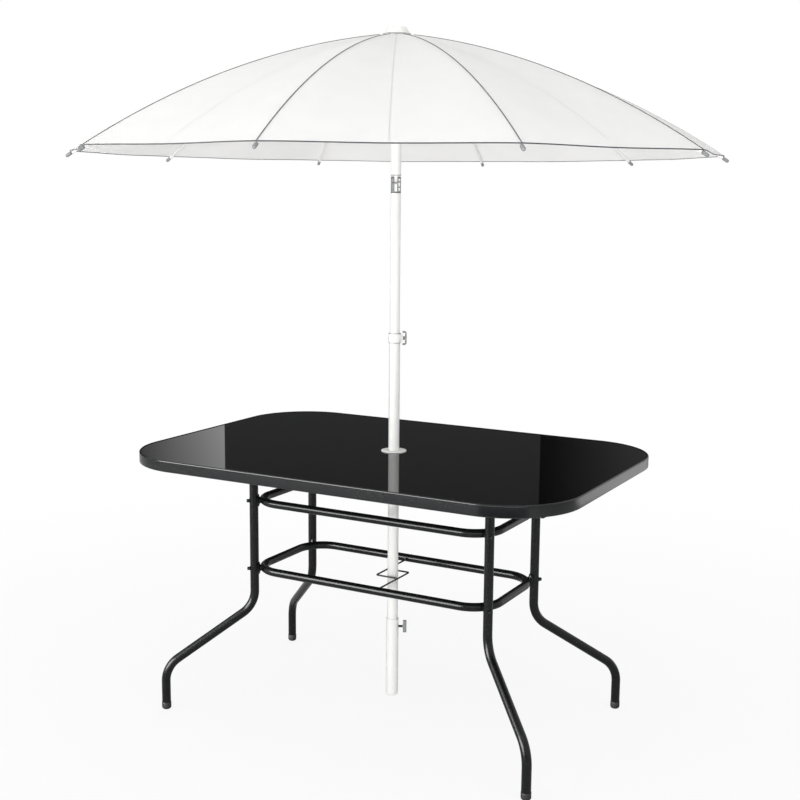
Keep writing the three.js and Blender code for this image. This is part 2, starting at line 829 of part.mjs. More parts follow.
function crownPole() {
  return tubeZ(
    upper_pole_diameter, pole_wall, tilt_top_height, hub_bottom - seat_gap, pole_sides,
  );
}

// Radial slots, and the pins that cross them, for every rib or stretcher
function radialSlots(inner_radius, low, height) {
  const length = hub_radius + cut_overrun - inner_radius;
  const slot = block(length, slot_width, height);
  return ribTurns().map((turn) => moved(slot, inner_radius + length / 2, 0, low).rotateZ(turn));
}

function radialPins(height) {
  const length = slot_width + 2 * hinge_pin_seat;
  const pin = moved(barY(hinge_pin_diameter, length, small_sides), hinge_radius, -length / 2, height);
  return ribTurns().map((turn) => pin.clone().rotateZ(turn));
}

function ribTurns() {
  return Array.from({ length: rib_count }, (_, i) => (2 * Math.PI * i) / rib_count);
}

// Crown hub: a slotted disc with ten hinge pins, on a plug in the crown pole
function crownHub() {
  const plug_low = hub_bottom - hub_plug_length;
  const outline = [
    [0, plug_low],
    [plug_diameter / 2, plug_low],
    [plug_diameter / 2, hub_bottom],
    [hub_radius, hub_bottom],
    [hub_radius, hub_top],
    [finial_stud_diameter / 2 + seat_gap, hub_top],
    [finial_stud_diameter / 2 + seat_gap, hub_top - hub_height / 2],
    [0, hub_top - hub_height / 2],
  ];
  const disc = solidOf(turned(outline, 2 * rib_count));
  const slots = radialSlots(slot_inner_radius, hub_bottom - cut_overrun, hub_height + 2 * cut_overrun);
  let hub = disc;
  slots.forEach((slot) => {
    hub = hub.subtract(solidOf(slot));
  });
  radialPins(hinge_height).forEach((pin) => {
    hub = hub.add(solidOf(pin));
  });
  return geometryOf(hub);
}

// Finial: a low dome that clamps the cloth, with a stud down into the hub
function finial() {
  const radius = finial_diameter / 2;
  const low = crown_height + seat_gap;
  const edge = canopyPoint(canopyShare(radius)).z + seat_gap;
  const stud = finial_stud_diameter / 2;
  return turned([
    [0, hub_top - hub_height / 2 + seat_gap],
    [stud, hub_top - hub_height / 2 + seat_gap],
    [stud, low],
    [canopy_start_radius, low],
    [radius, edge],
    [radius, edge + finial_edge],
    [radius * finial_shoulder_share, low + finial_height * finial_shoulder_height_share],
    [radius * finial_flat_share, low + finial_height],
    [0, low + finial_height],
  ], 2 * rib_count);
}

// Canopy: one sheet over all the ribs, straight from rib to rib and cut up between them at the hem
function canopy() {
  const around = rib_count * canopy_steps_per_gore;
  const rows = [{ r: canopy_hole_diameter / 2, z: crown_height, share: -1 }];
  for (let i = 0; i <= canopy_steps; i += 1) rows.push({ share: i / canopy_steps });
  const arc_length = canopy_arc_radius * (hem_slope - start_slope);
  const place = (row, column, depth) => {
    const gore_share = (column % canopy_steps_per_gore) / canopy_steps_per_gore;
    const gore_turn = (2 * Math.PI) / rib_count;
    const off_middle = (gore_share - 0.5) * gore_turn;
    const scallop = (hem_rise / arc_length) * 4 * gore_share * (1 - gore_share);
    const hub_row = rows[row].share < 0;
    const point = hub_row ? rows[row] : canopyPoint(rows[row].share * (1 - scallop), 0);
    const chord = Math.cos(gore_turn / 2) / Math.cos(off_middle);
    const radius = hub_row ? point.r : point.r * chord;
    const turn = (2 * Math.PI * column) / around;
    return [radius * Math.cos(turn), radius * Math.sin(turn), point.z - depth];
  };
  const positions = [];
  const indices = [];
  [0, canopy_thickness].forEach((depth) => {
    rows.forEach((_, row) => {
      for (let column = 0; column < around; column += 1) positions.push(...place(row, column, depth));
    });
  });
  const layer = rows.length * around;
  const at = (depth_layer, row, column) => depth_layer * layer + row * around + (column % around);
  const quad = (a, b, c, d) => indices.push(a, b, c, a, c, d);
  for (let column = 0; column < around; column += 1) {
    for (let row = 0; row < rows.length - 1; row += 1) {
      quad(at(0, row, column), at(0, row + 1, column), at(0, row + 1, column + 1), at(0, row, column + 1));
      quad(at(1, row, column), at(1, row, column + 1), at(1, row + 1, column + 1), at(1, row + 1, column));
    }
    const hem = rows.length - 1;
    quad(at(0, hem, column), at(1, hem, column), at(1, hem, column + 1), at(0, hem, column + 1));
    quad(at(0, 0, column), at(0, 0, column + 1), at(1, 0, column + 1), at(1, 0, column));
  }
  const sheet = new THREE.BufferGeometry();
  sheet.setAttribute("position", new THREE.BufferAttribute(new Float32Array(positions), 3));
  sheet.setIndex(indices);
  return sheet;
}

// A flat bar cut from an outline in the rib's upright plane, with round holes through it
function plateBar(outline, holes, width) {
  const shape = new THREE.Shape(outline.map(([r, z]) => new THREE.Vector2(r, z)));
  holes.forEach(({ r, z, diameter }) => {
    const hole = Array.from({ length: small_sides }, (_, i) => {
      const turn = -(2 * Math.PI * i) / small_sides;
      return new THREE.Vector2(r + (diameter / 2) * Math.cos(turn), z + (diameter / 2) * Math.sin(turn));
    });
    shape.holes.push(new THREE.Path(hole));
  });
  const bar = new THREE.ExtrudeGeometry(shape, { depth: width, bevelEnabled: false });
  return bar.translate(0, 0, -width / 2).rotateX(Math.PI / 2);
}

// Points on part of a circle round a centre, as [r, z] pairs
function arcPoints(centre_r, centre_z, radius, from, to, steps) {
  return Array.from({ length: steps + 1 }, (_, i) => {
    const turn = from + ((to - from) * i) / steps;
    return [centre_r + radius * Math.cos(turn), centre_z + radius * Math.sin(turn)];
  });
}

// Rib: an eye on the hub's pin, a bar that follows the cloth, and a rounded tip past the hem
function rib() {
  const top = [];
  const bottom = [];
  for (let i = 0; i <= canopy_steps; i += 1) {
    const upper = canopyPoint(i / canopy_steps, rib_top_depth);
    const lower = canopyPoint(i / canopy_steps, rib_top_depth + rib_depth);
    top.push([upper.r, upper.z]);
    bottom.push([lower.r, lower.z]);
  }
  const end = canopyPoint(1, rib_top_depth + rib_depth / 2);
  const tip = turned([
    [0, 0],
    [rib_width / 2, 0],
    [rib_tip_diameter / 2, rib_tip_diameter / 2],
    [rib_tip_diameter / 2, rib_tip_length - rib_tip_diameter / 2],
    [dome_top_share * (rib_tip_diameter / 2), rib_tip_length - rib_tip_round],
    [0, rib_tip_length],
  ], small_sides);
  tip.translate(0, 0, rib_tip_start).rotateY(Math.PI / 2 + hem_slope).translate(end.r, 0, end.z);
  const eye = arcPoints(hinge_radius, hinge_height, rib_eye_radius, Math.PI / 2, (3 * Math.PI) / 2, eye_steps);
  const holes = [
    { r: hinge_radius, z: hinge_height, diameter: hinge_pin_diameter + 2 * pivot_clearance },
    { r: rib_pivot.r, z: rib_pivot.z, diameter: stretcher_rivet_diameter + 2 * pivot_clearance },
  ];
  const nose = [
    end.r + 2 * rib_tip_start * Math.cos(hem_slope),
    end.z - 2 * rib_tip_start * Math.sin(hem_slope),
  ];
  const outline = [...eye, ...bottom, nose, ...top.reverse()];
  return shaped([plateBar(outline, holes, rib_width), tip]);
}

// Stretcher: an eye on the runner's pin and a fork with its rivet astride the rib
function stretcher() {
  const rise = rib_pivot.z - runner_pivot_height;
  const run = rib_pivot.r - hinge_radius;
  const lean = Math.atan2(rise, run);
  const half = stretcher_depth / 2;
  const eye = arcPoints(0, 0, stretcher_eye_radius, Math.PI / 3, (5 * Math.PI) / 3, eye_steps);
  const bar_end = stretcher_length - fork_slot_length;
  const bar_outline = [...eye, [bar_end, -half], [bar_end, half]];
  const eye_hole = { r: 0, z: 0, diameter: hinge_pin_diameter + 2 * pivot_clearance };
  const bar = plateBar(bar_outline, [eye_hole], rib_width);
  const head_end = arcPoints(stretcher_length, 0, half, -Math.PI / 2, Math.PI / 2, fork_end_steps);
  const head_start = stretcher_length - fork_length;
  const head_outline = [...head_end, [head_start, half], [head_start, -half]];
  const head = plateBar(head_outline, [], slot_width + 2 * fork_wall);
  const slot_length = fork_slot_length + stretcher_depth;
  const slot = moved(
    block(slot_length, slot_width, 2 * stretcher_depth),
    stretcher_length - fork_slot_length + slot_length / 2,
    0,
    -stretcher_depth,
  );
  const rivet_length = slot_width + fork_wall;
  const rivet = barY(stretcher_rivet_diameter, rivet_length, small_sides);
  const forked = shaped([bar, head], [slot]);
  const whole = shaped([forked, moved(rivet, stretcher_length, -rivet_length / 2, 0)]);
  return whole.rotateY(-lean).translate(hinge_radius, 0, runner_pivot_height);
}

// Runner: a sleeve on the pole with a slotted flange and ten pins for the stretchers
function runner() {
  const bore = upper_pole_diameter / 2 + runner_clearance;
  const skirt = bore + runner_wall;
  const flange_low = runner_pivot_height - runner_flange_height / 2;
  const flange_high = runner_pivot_height + runner_flange_height / 2;
  const low = flange_low - runner_skirt_length;
  const outline = [
    [bore, low],
    [skirt, low],
    [skirt, flange_low],
    [hub_radius, flange_low],
    [hub_radius, flange_high],
    [bore, flange_high],
    [bore, low],
  ];
  const slot_low = flange_low - cut_overrun;
  const slots = radialSlots(skirt, slot_low, runner_flange_height + 2 * cut_overrun);
  let body = solidOf(turned(outline, 2 * rib_count));
  slots.forEach((slot) => {
    body = body.subtract(solidOf(slot));
  });
  radialPins(runner_pivot_height).forEach((pin) => {
    body = body.add(solidOf(pin));
  });
  return geometryOf(body);
}

// Scene graph
const umbrella_table = new THREE.Group();

function addMesh(parent, name, geometry, material) {
  const mesh = new THREE.Mesh(geometry, material);
  mesh.name = name;
  parent.add(mesh);
  return mesh;
}

function addTable() {
  addMesh(umbrella_table, "glass_top", glassTop(), tinted_glass);
  addMesh(umbrella_table, "rim_frame", rimFrame(), black_steel);
  addMesh(umbrella_table, "umbrella_hole_ring", holeRing(), white_plastic);
  addMesh(umbrella_table, "upper_tube_ring", tubeRing(upper_ring_height), black_steel);
  addMesh(umbrella_table, "lower_tube_ring", lowerRing(), black_steel);
  addMesh(umbrella_table, "upper_ring_joint", ringJoint(upper_ring_height), zinc_screw);
  addMesh(umbrella_table, "lower_ring_joint", ringJoint(lower_ring_height), zinc_screw);
  addMesh(umbrella_table, "umbrella_holder", umbrellaHolder(), black_steel);
  leg_places.forEach((place) => {
    const corner = new THREE.Group();
    corner.position.set(place.side_x * ring_corner.x, place.side_y * ring_corner.y, 0);
    corner.rotation.z = place.turn;
    addMesh(corner, `leg_${place.name}`, leg(), black_steel);
    addMesh(corner, `foot_cap_${place.name}`, footCap(), black_plastic);
    addMesh(corner, `lower_bolt_${place.name}`, legBolt(lower_ring_height), zinc_screw);
    addMesh(corner, `upper_bolt_${place.name}`, legBolt(upper_ring_height), zinc_screw);
    umbrella_table.add(corner);
  });
}

function addUmbrella() {
  const umbrella = new THREE.Group();
  umbrella.rotation.z = THREE.MathUtils.degToRad(umbrella_turn_deg);
  addMesh(umbrella, "base_sleeve", baseSleeve(), white_steel);
  addMesh(umbrella, "base_thumb_screw", baseScrew(), white_plastic);
  addMesh(umbrella, "lower_pole", lowerPole(), white_steel);
  addMesh(umbrella, "clamp_collar", clampCollar(), white_plastic);
  addMesh(umbrella, "collar_knob", collarKnob(), white_plastic);
  addMesh(umbrella, "upper_pole", upperPole(), white_steel);
  addMesh(umbrella, "tilt_socket", tiltSocket(), white_plastic);
  addMesh(umbrella, "tilt_pin", tiltPin(), bright_steel);
  addMesh(umbrella, "tilt_tongue", tiltTongue(), white_plastic);
  addMesh(umbrella, "tilt_button", tiltButton(), bright_steel);
  addMesh(umbrella, "crown_pole", crownPole(), white_steel);
  addMesh(umbrella, "crown_hub", crownHub(), white_plastic);
  addMesh(umbrella, "finial", finial(), white_plastic);
  addMesh(umbrella, "canopy", canopy(), canopy_cloth);
  addMesh(umbrella, "runner", runner(), white_plastic);
  ribTurns().forEach((turn, i) => {
    const number = String(i + 1).padStart(2, "0");
    const spoke = new THREE.Group();
    spoke.rotation.z = turn;
    addMesh(spoke, `rib_${number}`, rib(), white_steel);
    addMesh(spoke, `stretcher_${number}`, stretcher(), white_steel);
    umbrella.add(spoke);
  });
  umbrella_table.add(umbrella);
}

addTable();
addUmbrella();

export default umbrella_table;
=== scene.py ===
# Dresses the umbrella table: its fine shapes, finishes, light and camera.
# Lengths are millimetres in the part's frame and become metres when a mesh is made.
import math

import bmesh
import bpy
from mathutils import Matrix, Vector


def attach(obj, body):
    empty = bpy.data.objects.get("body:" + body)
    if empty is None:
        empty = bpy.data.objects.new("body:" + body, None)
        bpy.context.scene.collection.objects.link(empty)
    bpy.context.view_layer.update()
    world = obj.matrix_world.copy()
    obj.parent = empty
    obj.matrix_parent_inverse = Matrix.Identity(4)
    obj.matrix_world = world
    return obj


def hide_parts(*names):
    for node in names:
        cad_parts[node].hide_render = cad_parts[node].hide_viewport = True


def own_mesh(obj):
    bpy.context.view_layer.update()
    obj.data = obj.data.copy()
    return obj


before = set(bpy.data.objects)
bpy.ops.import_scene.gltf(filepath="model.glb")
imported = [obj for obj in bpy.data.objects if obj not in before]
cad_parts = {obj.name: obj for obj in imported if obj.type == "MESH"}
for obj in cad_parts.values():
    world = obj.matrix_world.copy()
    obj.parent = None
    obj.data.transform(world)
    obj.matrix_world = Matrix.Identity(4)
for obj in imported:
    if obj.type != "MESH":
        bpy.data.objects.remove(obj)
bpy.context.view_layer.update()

mm = 0.001
gap = 0.3

# Table top
top_length = 1235
top_width = 840
top_height = 725
top_corner_radius = 190
rim_height = 30
rim_wall = 4
rim_edge_round = 3.4
rim_inner_edge = 0.4
ledge_width = 18
ledge_thickness = 2.5
ledge_root = 1
glass_thickness = 5
glass_recess = 1.5
glass_edge_round = 1

# Bush in the glass
hole_ring_flange = 34
hole_ring_body = 23
hole_ring_nut = 30
bush_clearance = 0.6
bush_bevel = 1
bush_bevel_height = 2.2
bush_lip_start = 7
bush_lip_end = 3
bush_lip_height = 3
bush_step = 1
bush_step_height = 1.8
bush_lead = 1
bush_nut_height = 6
bush_nut_clearance = 0.2

# Legs
leg_turn = math.radians(42)
leg_tube = 12
leg_tube_foot = 5
leg_stand_off = 4
foot_reach = 245
splay_top_height = 281
splay_foot_height = 120
leg_bend_radius = 75
arm_bend_radius = 55
arm_end_gap = 3
foot_cap_height = 20
foot_cap_bulge = 0.7
foot_cap_round = 7
foot_cap_floor = 4.2
foot_cap_lip = 0.35
foot_cap_lip_edge = 0.15
foot_cap_lip_drop = 0.4

# Tube rings and their stand-offs
ring_tube = 11
ring_length = 704
ring_width = 308
ring_corner_radius = 78
ring_heights = {"lower": 384, "upper": 574}
ring_joint_x = -54
ring_plug = 8.2
ring_plug_reach = 30
ring_rivet_x = -40
ring_rivet = 4
ring_rivet_foot = 0.2
ring_rivet_dome = 1.4
ring_rivet_steps = 9
boss_radius = 7.5
boss_sink = 0.6
saddle_width = 10.4
saddle_height = 17
bead_radius = 1.25
bead_ripple = 0.2
bead_ripple_count = 12
bead_offset = 0.2

# Bolts
bolt_head_radius = 4.6
bolt_head_height = 6.6
bolt_head_round = 2.4
bolt_socket = 2.3
bolt_socket_floor = 2.1
bolt_socket_depth = 2
bolt_socket_cone = 0.4
bolt_shank = 3
bolt_shank_start = 5
bolt_shank_lap = 1
washer_radius = 6.2
washer_hole = 3.2
washer_thickness = 0.9

# Umbrella holder; a weld blob is an outline of (radius, height) pairs
holder_wire = 2.25
holder_loop_length = 66
holder_loop_width = 64
holder_bend_radius = 6
holder_root = 1
weld_blob = ((0, -2.6), (1.8, -1.9), (2.7, 0), (1.8, 1.9), (0, 2.6))
root_weld_scale = 1.5

# Poles and base sleeve
umbrella_turn = math.radians(28)
upper_pole = 13
lower_pole = 14.5
pole_wall = 1.2
pole_lip = 0.5
pole_plug = 11.4
upper_pole_bottom = 560
lower_pole_top = 1034
sleeve = 16.6
sleeve_wall = 1.6
sleeve_draft = 0.2
sleeve_floor = 5
sleeve_round = 5
sleeve_bottom = 42
sleeve_top = 260

# Base thumb screw
base_screw_height = 236
base_grip_stand_off = 12
base_grip_thickness = 9.8
base_grip_width = 10
base_grip_length = 35
base_neck = 4.6
base_neck_foot = 3.9
base_neck_length = 1.6
base_neck_lap = 1
base_stem = 3.2
base_stem_end_gap = 1
grip_round = 1.4
grip_bevel = 0.5
thread_pitch = 1.2
thread_depth = 0.35

# Clamp collar and its wing screw
collar_low = 1014.3
collar_height = 23
collar_radius = 17
collar_bevel = 0.6
collar_lead = 2
collar_rubber = 1.2
collar_rubber_inset = 0.8
collar_wiper_lift = 0.1
collar_gasket_drop = 1.3
collar_boss_bore = 2.9
collar_boss_neck = 5.6
collar_boss_face = 11.4
collar_boss_rim = 0.8
collar_boss_flare = 2.6
collar_boss_root = 2
collar_boss_end = 21.5
collar_stem = 2.5
collar_stem_lap = 2
collar_knob_height = 1025.8
knob_neck_foot = 5
knob_neck_top = 4.2
knob_neck_lap = 1
knob_face = 31.5
knob_tip = 20.5
knob_length = 37
knob_width = 11
knob_thickness = 4.4
knob_bend = 4.5
knob_edge = 1.8

# Tilt joint; depths into the pole's front are along Y, which is negative there
tilt_bottom = 1403
tilt_top = 1446
tilt_fork_top = 1443.5
tilt_cheek_round = 18
tilt_cheek_base = 14
tilt_cheek_room = 1
tilt_cheek_reach = 30
tilt_slot_width = 8.6
tilt_pin_height = 1435
tilt_pin = 2.5
tilt_pin_half_length = 12.6
tilt_bore = 2.8
tilt_tongue_radius = 9
tilt_tongue_clearance = 0.6
tilt_tongue_lap = 4
tilt_plug_sink = 0.1
tilt_plug_length = 28
tilt_button = 2.5
tilt_button_x = -7.2
tilt_button_height = 1428
tilt_button_root = -3
tilt_button_bore_end = -1
tilt_button_recess = 0.15
tilt_windows = ((1406.5, 1415), (1418, 1428), (1431, 1438.5))
tilt_window_left = 6.2
tilt_window_right = 11
tilt_window_floor = -5.2
tilt_insert_front = -8.2
tilt_insert_seat = 0.1
tilt_pocket_half_width = 3.4
tilt_pocket_foot = 1405.5
tilt_pocket_floor = -11.8
tilt_pocket_drop = 1.2
tilt_inlay_front = -12.5
tilt_grooves = (-5.4, -9.4, -11.2)
tilt_groove_half_width = 0.55
tilt_groove_depth = 1.6
tilt_groove_top = 1441
tilt_seal_inner = 11.5
tilt_seal_outer = 13.5
tilt_seal_thickness = 1.7
tilt_seal_drop = 1.5

# Crown, cap and runner; the cap's line is (radius, height) pairs from the cap's brim
crown_height = 1796
hub_radius = 24
hub_top = 1791
hub_height = 21
hub_neck_length = 3
hub_edge = 1
hub_slot_start = 14
hinge_radius = 19
hinge_height = 1783
hinge_pin = 1.3
hinge_pin_lap = 1
slot_width = 5.6
slot_end_room = 3
finial_radius = 35.5
finial_top_radius = 24
finial_height = 20
finial_round = 4
finial_brim = 0.5
finial_brim_foot = 0.2
finial_brim_height = 2.2
finial_shoulder = 3
finial_shoulder_share = 0.62
finial_top_share = 0.93
finial_line = ((-0.3, 1.6), (0.2, 1.9), (0.2, 2.6), (-0.3, 2.9))
runner_radius = 15.3
runner_clearance = 0.5
runner_flange_height = 12
runner_skirt_length = 34

# Ribs and stretchers; a rivet head is an outline of (radius, height) pairs
rib_count = 10
rib_width = 5
rib_depth = 7
rib_eye = 4.5
rib_tip_length = 19
rib_tip_radius = 4.5
rib_tip_mouth = 3.4
rib_tip_flare = 3
rib_tip_taper = 4
rib_tip_nose = 3
rib_tip_nose_drop = 0.6
rib_tip_round = 2.5
stretcher_pivot_radius = 345
stretcher_depth = 6
stretcher_eye = 3.3
stretcher_eye_opening = math.radians(60)
fork_length = 30
fork_slot_length = 22
fork_wall = 1.5
fork_rivet = 1.5
fork_rivet_lap = 0.8
fork_rivet_seat = 0.7
fork_rivet_head = ((0, 0), (2.6, 0), (2.2, 0.9), (0, 1.2))

# Canopy
canopy_radius = 838
canopy_start_radius = 30
canopy_hole_radius = 6
canopy_thickness = 1.2
start_slope = math.radians(8)
hem_slope = math.radians(32)
half_gore = math.pi / rib_count
seam_round = math.radians(1.2)
panel_sag = 7
sag_lead = 0.8
hem_sag_share = 0.35
seam_piping = 1.0
seam_lift = 0.4
hem_piping = 1.35

# Rounding of edges
soft_edge = 0.8
boss_edge = 0.7
turned_edge = 0.6
rubber_edge = 0.4
thin_edge = 0.3
line_edge = 0.2
blade_edge_round = 0.4
rib_edge_round = 0.5
edge_reach_share = 0.45

# Roundness and fineness of the meshes
tube_sides = 32
turned_sides = 64
cheek_sides = 96
cap_sides = 48
bolt_sides = 40
nut_sides = 36
fitting_sides = 32
thread_sides = 24
wire_sides = 20
pin_sides = 16
cord_sides = 12
bead_sides = 8
bend_steps = 16
top_corner_steps = 28
rib_steps = 24
half_turn_steps = 12
small_bend_steps = 10
edge_steps = 8
round_steps = 6
knob_edge_steps = 5
lip_steps = 3
canopy_rows = 36
canopy_columns = 24
smooth_angle = 35
crisp_angle = 30
cloth_angle = 60
merge_distance = 0.004
degenerate_length = 0.001
cutter_reach = 20
cutter_overrun = 2
edge_round_segments = 3

# Finishes: the detail of each use's grain, the cloth, and numbers that Blender's nodes fix
grain_details = {"tones": 4, "roughness": 3, "bump": 2}
thread_width = 2.4
weave_depth = 0.1
cloth_glow_depth = 6
wave_length_at_scale_one = math.pi / 10
mix_colour_sockets = (6, 7)
mix_colour_result = 2

# Studio, in metres, and light levels
flag_level = 0.062
soft_light_level = 0.42
ramp_top = 22
first_bounce_depth = 1.5
floor_half = 40
floor_height = -0.0005
floor_near = 0.7
floor_far = 3
floor_near_share = 0.88

# Camera, in metres and radians, worked out from the table top and the tube rings
camera_place = (1.6135, -2.9075, 1.4083)
camera_yaw = -0.5020
camera_pitch = -0.1632
camera_roll = 0.0087
camera_lens = 57.28
camera_sensor = 36
camera_reach = 100

# Panels that only gloss sees: near edge, direction, width, low and high, and (metres in, strength) stops
gloss_panels = {
    "back_flag": ((-3.2, 2.1), (0.869, 0.494), 3.4, 0.1, 2.9, [(0, flag_level), (3.4, flag_level)]),
    "left_reflector": (
        (-2.273, 2.3), (-0.803, -0.596), 6, 0.3, 2.8,
        [(0, 0.68), (0.15, 0.47), (0.42, 0.15), (0.9, 0.09), (4.5, 0.09), (6, 1)],
    ),
    "right_reflector": (
        (-0.857, 3.105), (0.925, 0.38), 5.5, 0.1, 2.8,
        [(0, 0.012), (0.09, 0.017), (0.29, 0.044), (0.44, 0.07), (0.7, 0.11), (1.1, 0.3), (2.2, 1), (5.5, 1)],
    ),
    "rim_reflector": ((0.9, 2.2), (1, 0), 1.8, 0, 0.45, [(0, 1.2), (0.5, 1.6), (1.8, 1.6)]),
    "left_softbox": ((-4.1, -2.86), (0.85, -0.52), 4, 0.65, 3.2, [(0, 22), (4, 22)]),
    "front_flag": (
        (0.05, -2.14), (0.874, 0.485), 2, 0, 0.7, [(0, 0.3), (0.4, 0.02), (1.6, 0.02), (2, 0.3)],
    ),
}

# Soft boxes: place, target, size, watts, and whether gloss shows them
lamps = {
    "top_box": ((0.5, -0.6, 4.2), (0, 0, 0.6), (3.5, 3.5), 34, True),
    "rim_strip": ((-2.1, -2.2, 3.5), (0, -0.3, 0.7), (2.8, 0.35), 18, True),
    "front_strip": ((2.1, -3.8, 0.8), (0, 0, 1), (4, 0.9), 100, True),
    "left_box": ((-2.4, -3.9, 1.2), (0, 0, 0.7), (4, 0.5), 75, False),
    "right_box": ((3.4, -1.4, 1.8), (0, 0, 0.8), (1.6, 2.6), 18, False),
    "back_box": ((-1.8, 3.8, 2.2), (0, 0, 1.2), (3, 2), 32, False),
}

# Values that follow
corner_x = ring_length / 2 - ring_corner_radius
corner_y = ring_width / 2 - ring_corner_radius
leg_offset = ring_corner_radius + ring_tube + leg_stand_off + leg_tube
glass_top = top_height - glass_recess
glass_bottom = glass_top - glass_thickness
ledge_top = glass_bottom - gap
ledge_bottom = ledge_top - ledge_thickness
arm_height = ledge_bottom - gap - leg_tube
rail_face = ring_width / 2 - ring_tube
tilt_floor = tilt_pin_height - tilt_tongue_radius - tilt_tongue_clearance
hub_bottom = hub_top - hub_height
canopy_arc = (canopy_radius - canopy_start_radius) / (math.sin(hem_slope) - math.sin(start_slope))

# Where each leg stands: the signs of its corner and the turn of its outward direction
leg_places = {
    "front_left": (-1, -1, math.pi + leg_turn),
    "front_right": (1, -1, -leg_turn),
    "back_right": (1, 1, leg_turn),
    "back_left": (-1, 1, math.pi - leg_turn),
}

# Flare of a stand-off: share of the way to the leg, half width and half height
saddle_stations = (
    (0, boss_radius, boss_radius),
    (0.3, boss_radius, boss_radius),
    (0.55, 0.8 * saddle_width, 0.62 * saddle_height),
    (0.78, saddle_width, saddle_height),
    (1, saddle_width, saddle_height),
)

# Places: the umbrella's turn, and a piece made along Z laid along X
pole_place = Matrix.Rotation(umbrella_turn, 4, "Z")
along_x = Matrix.Rotation(math.pi / 2, 4, "Y")


# Colours, nodes and materials
def linear(hex_colour):
    """A six-digit sRGB colour as linear red, green, blue and alpha."""
    channels = [int(hex_colour[i:i + 2], 16) / 255 for i in (1, 3, 5)]
    bent = [c / 12.92 if c <= 0.04045 else ((c + 0.055) / 1.055) ** 2.4 for c in channels]
    return (*bent, 1.0)


def add_node(tree, kind, settings=None, links=None):
    """Adds a node, sets its properties or inputs by name and links outputs to its inputs."""
    made = tree.nodes.new(kind)
    for key, value in (settings or {}).items():
        if key in made.inputs:
            made.inputs[key].default_value = value
        else:
            setattr(made, key, value)
    for key, output in (links or {}).items():
        tree.links.new(output, made.inputs[key])
    return made


def make_material(
    name, settings, sizes, tones=(), roughness=(), bump_depth=0, bump_strength=1, pattern=None, details=None
):
    """One shader whose tones, roughness and bumps wander over grains of real sizes in millimetres."""
    material = bpy.data.materials.new(name)
    material.use_nodes = True
    tree = material.node_tree
    tree.nodes.clear()
    shader = add_node(tree, "ShaderNodeBsdfPrincipled", settings)
    add_node(tree, "ShaderNodeOutputMaterial", links={"Surface": shader.outputs["BSDF"]})
    place = add_node(tree, "ShaderNodeTexCoord").outputs["Object"]
    grains = {}
    for use, size in sizes.items():
        grain = {"Scale": 1 / (size * mm), "Detail": (details or grain_details)[use]}
        grains[use] = add_node(tree, "ShaderNodeTexNoise", grain, {"Vector": place}).outputs["Fac"]
    if tones:
        blend = add_node(tree, "ShaderNodeMix", {"data_type": "RGBA"}, {"Factor": grains["tones"]})
        for socket, tone in zip(mix_colour_sockets, tones):
            blend.inputs[socket].default_value = linear(tone)
        tree.links.new(blend.outputs[mix_colour_result], shader.inputs["Base Color"])
    if roughness:
        limits = {"To Min": roughness[0], "To Max": roughness[1]}
        spread = add_node(tree, "ShaderNodeMapRange", limits, {"Value": grains["roughness"]})
        tree.links.new(spread.outputs["Result"], shader.inputs["Roughness"])
    if bump_depth:
        height = pattern(tree, place) if pattern else grains["bump"]
        push = {"Distance": bump_depth * mm, "Strength": bump_strength}
        bump = add_node(tree, "ShaderNodeBump", push, {"Height": height})
        tree.links.new(bump.outputs["Normal"], shader.inputs["Normal"])
    return material


# Finishes
def black_powder_coat():
    """Polyester powder baked on steel: satin, with a faint orange peel about 1.5 mm across."""
    return make_material(
        "black_powder_coat",
        {"IOR": 1.5, "Specular IOR Level": 0.22},
        {"tones": 40, "roughness": 25, "bump": 1.6},
        tones=("#0e0f10", "#141516"),
        roughness=(0.2, 0.27),
        bump_depth=0.006,
    )


def black_rim_enamel():
    """The same powder on the rolled rim, a little glossier where hands polish it."""
    return make_material(
        "black_rim_enamel",
        {"IOR": 1.5, "Specular IOR Level": 0.3},
        {"tones": 60, "roughness": 30, "bump": 1.6},
        tones=("#131415", "#191a1b"),
        roughness=(0.16, 0.23),
        bump_depth=0.006,
    )


def black_tempered_glass():
    """Tempered soda-lime glass with a black tint: mirror-smooth, with faint wipe marks."""
    return make_material(
        "black_tempered_glass",
        {"IOR": 1.52, "Specular IOR Level": 0.34, "Base Color": linear("#050607")},
        {"roughness": 90},
        roughness=(0.015, 0.035),
        details={"roughness": 6},
    )


def black_grained_plastic():
    """Moulded polyethylene with a fine spark-eroded grain that makes it matt."""
    return make_material(
        "black_grained_plastic",
        {"IOR": 1.5},
        {"tones": 8, "roughness": 6, "bump": 0.5},
        tones=("#101010", "#171717"),
        roughness=(0.5, 0.66),
        bump_depth=0.03,
    )


def blackened_screw_steel():
    """Zinc-plated steel with a black passivate: dark metal, worn a little brighter on its high spots."""
    return make_material(
        "blackened_screw_steel",
        {"Metallic": 0.85},
        {"tones": 3, "roughness": 2, "bump": 0.6},
        tones=("#242528", "#3e4044"),
        roughness=(0.26, 0.4),
        bump_depth=0.01,
    )


def white_powder_coat():
    """White polyester powder on thin steel tube: smooth satin with a faint orange peel."""
    return make_material(
        "white_powder_coat",
        {"IOR": 1.5, "Specular IOR Level": 0.3},
        {"tones": 120, "roughness": 40, "bump": 1.6},
        tones=("#e6e6e4", "#efefed"),
        roughness=(0.3, 0.38),
        bump_depth=0.008,
    )


def white_moulded_plastic():
    """Moulded acetal: bright, slightly waxy white."""
    return make_material(
        "white_moulded_plastic",
        {"IOR": 1.48, "Subsurface Weight": 0.05, "Subsurface Radius": (0.002, 0.002, 0.002)},
        {"tones": 15, "roughness": 8, "bump": 0.7},
        tones=("#e9e9e6", "#f1f1ee"),
        roughness=(0.36, 0.46),
        bump_depth=0.012,
    )


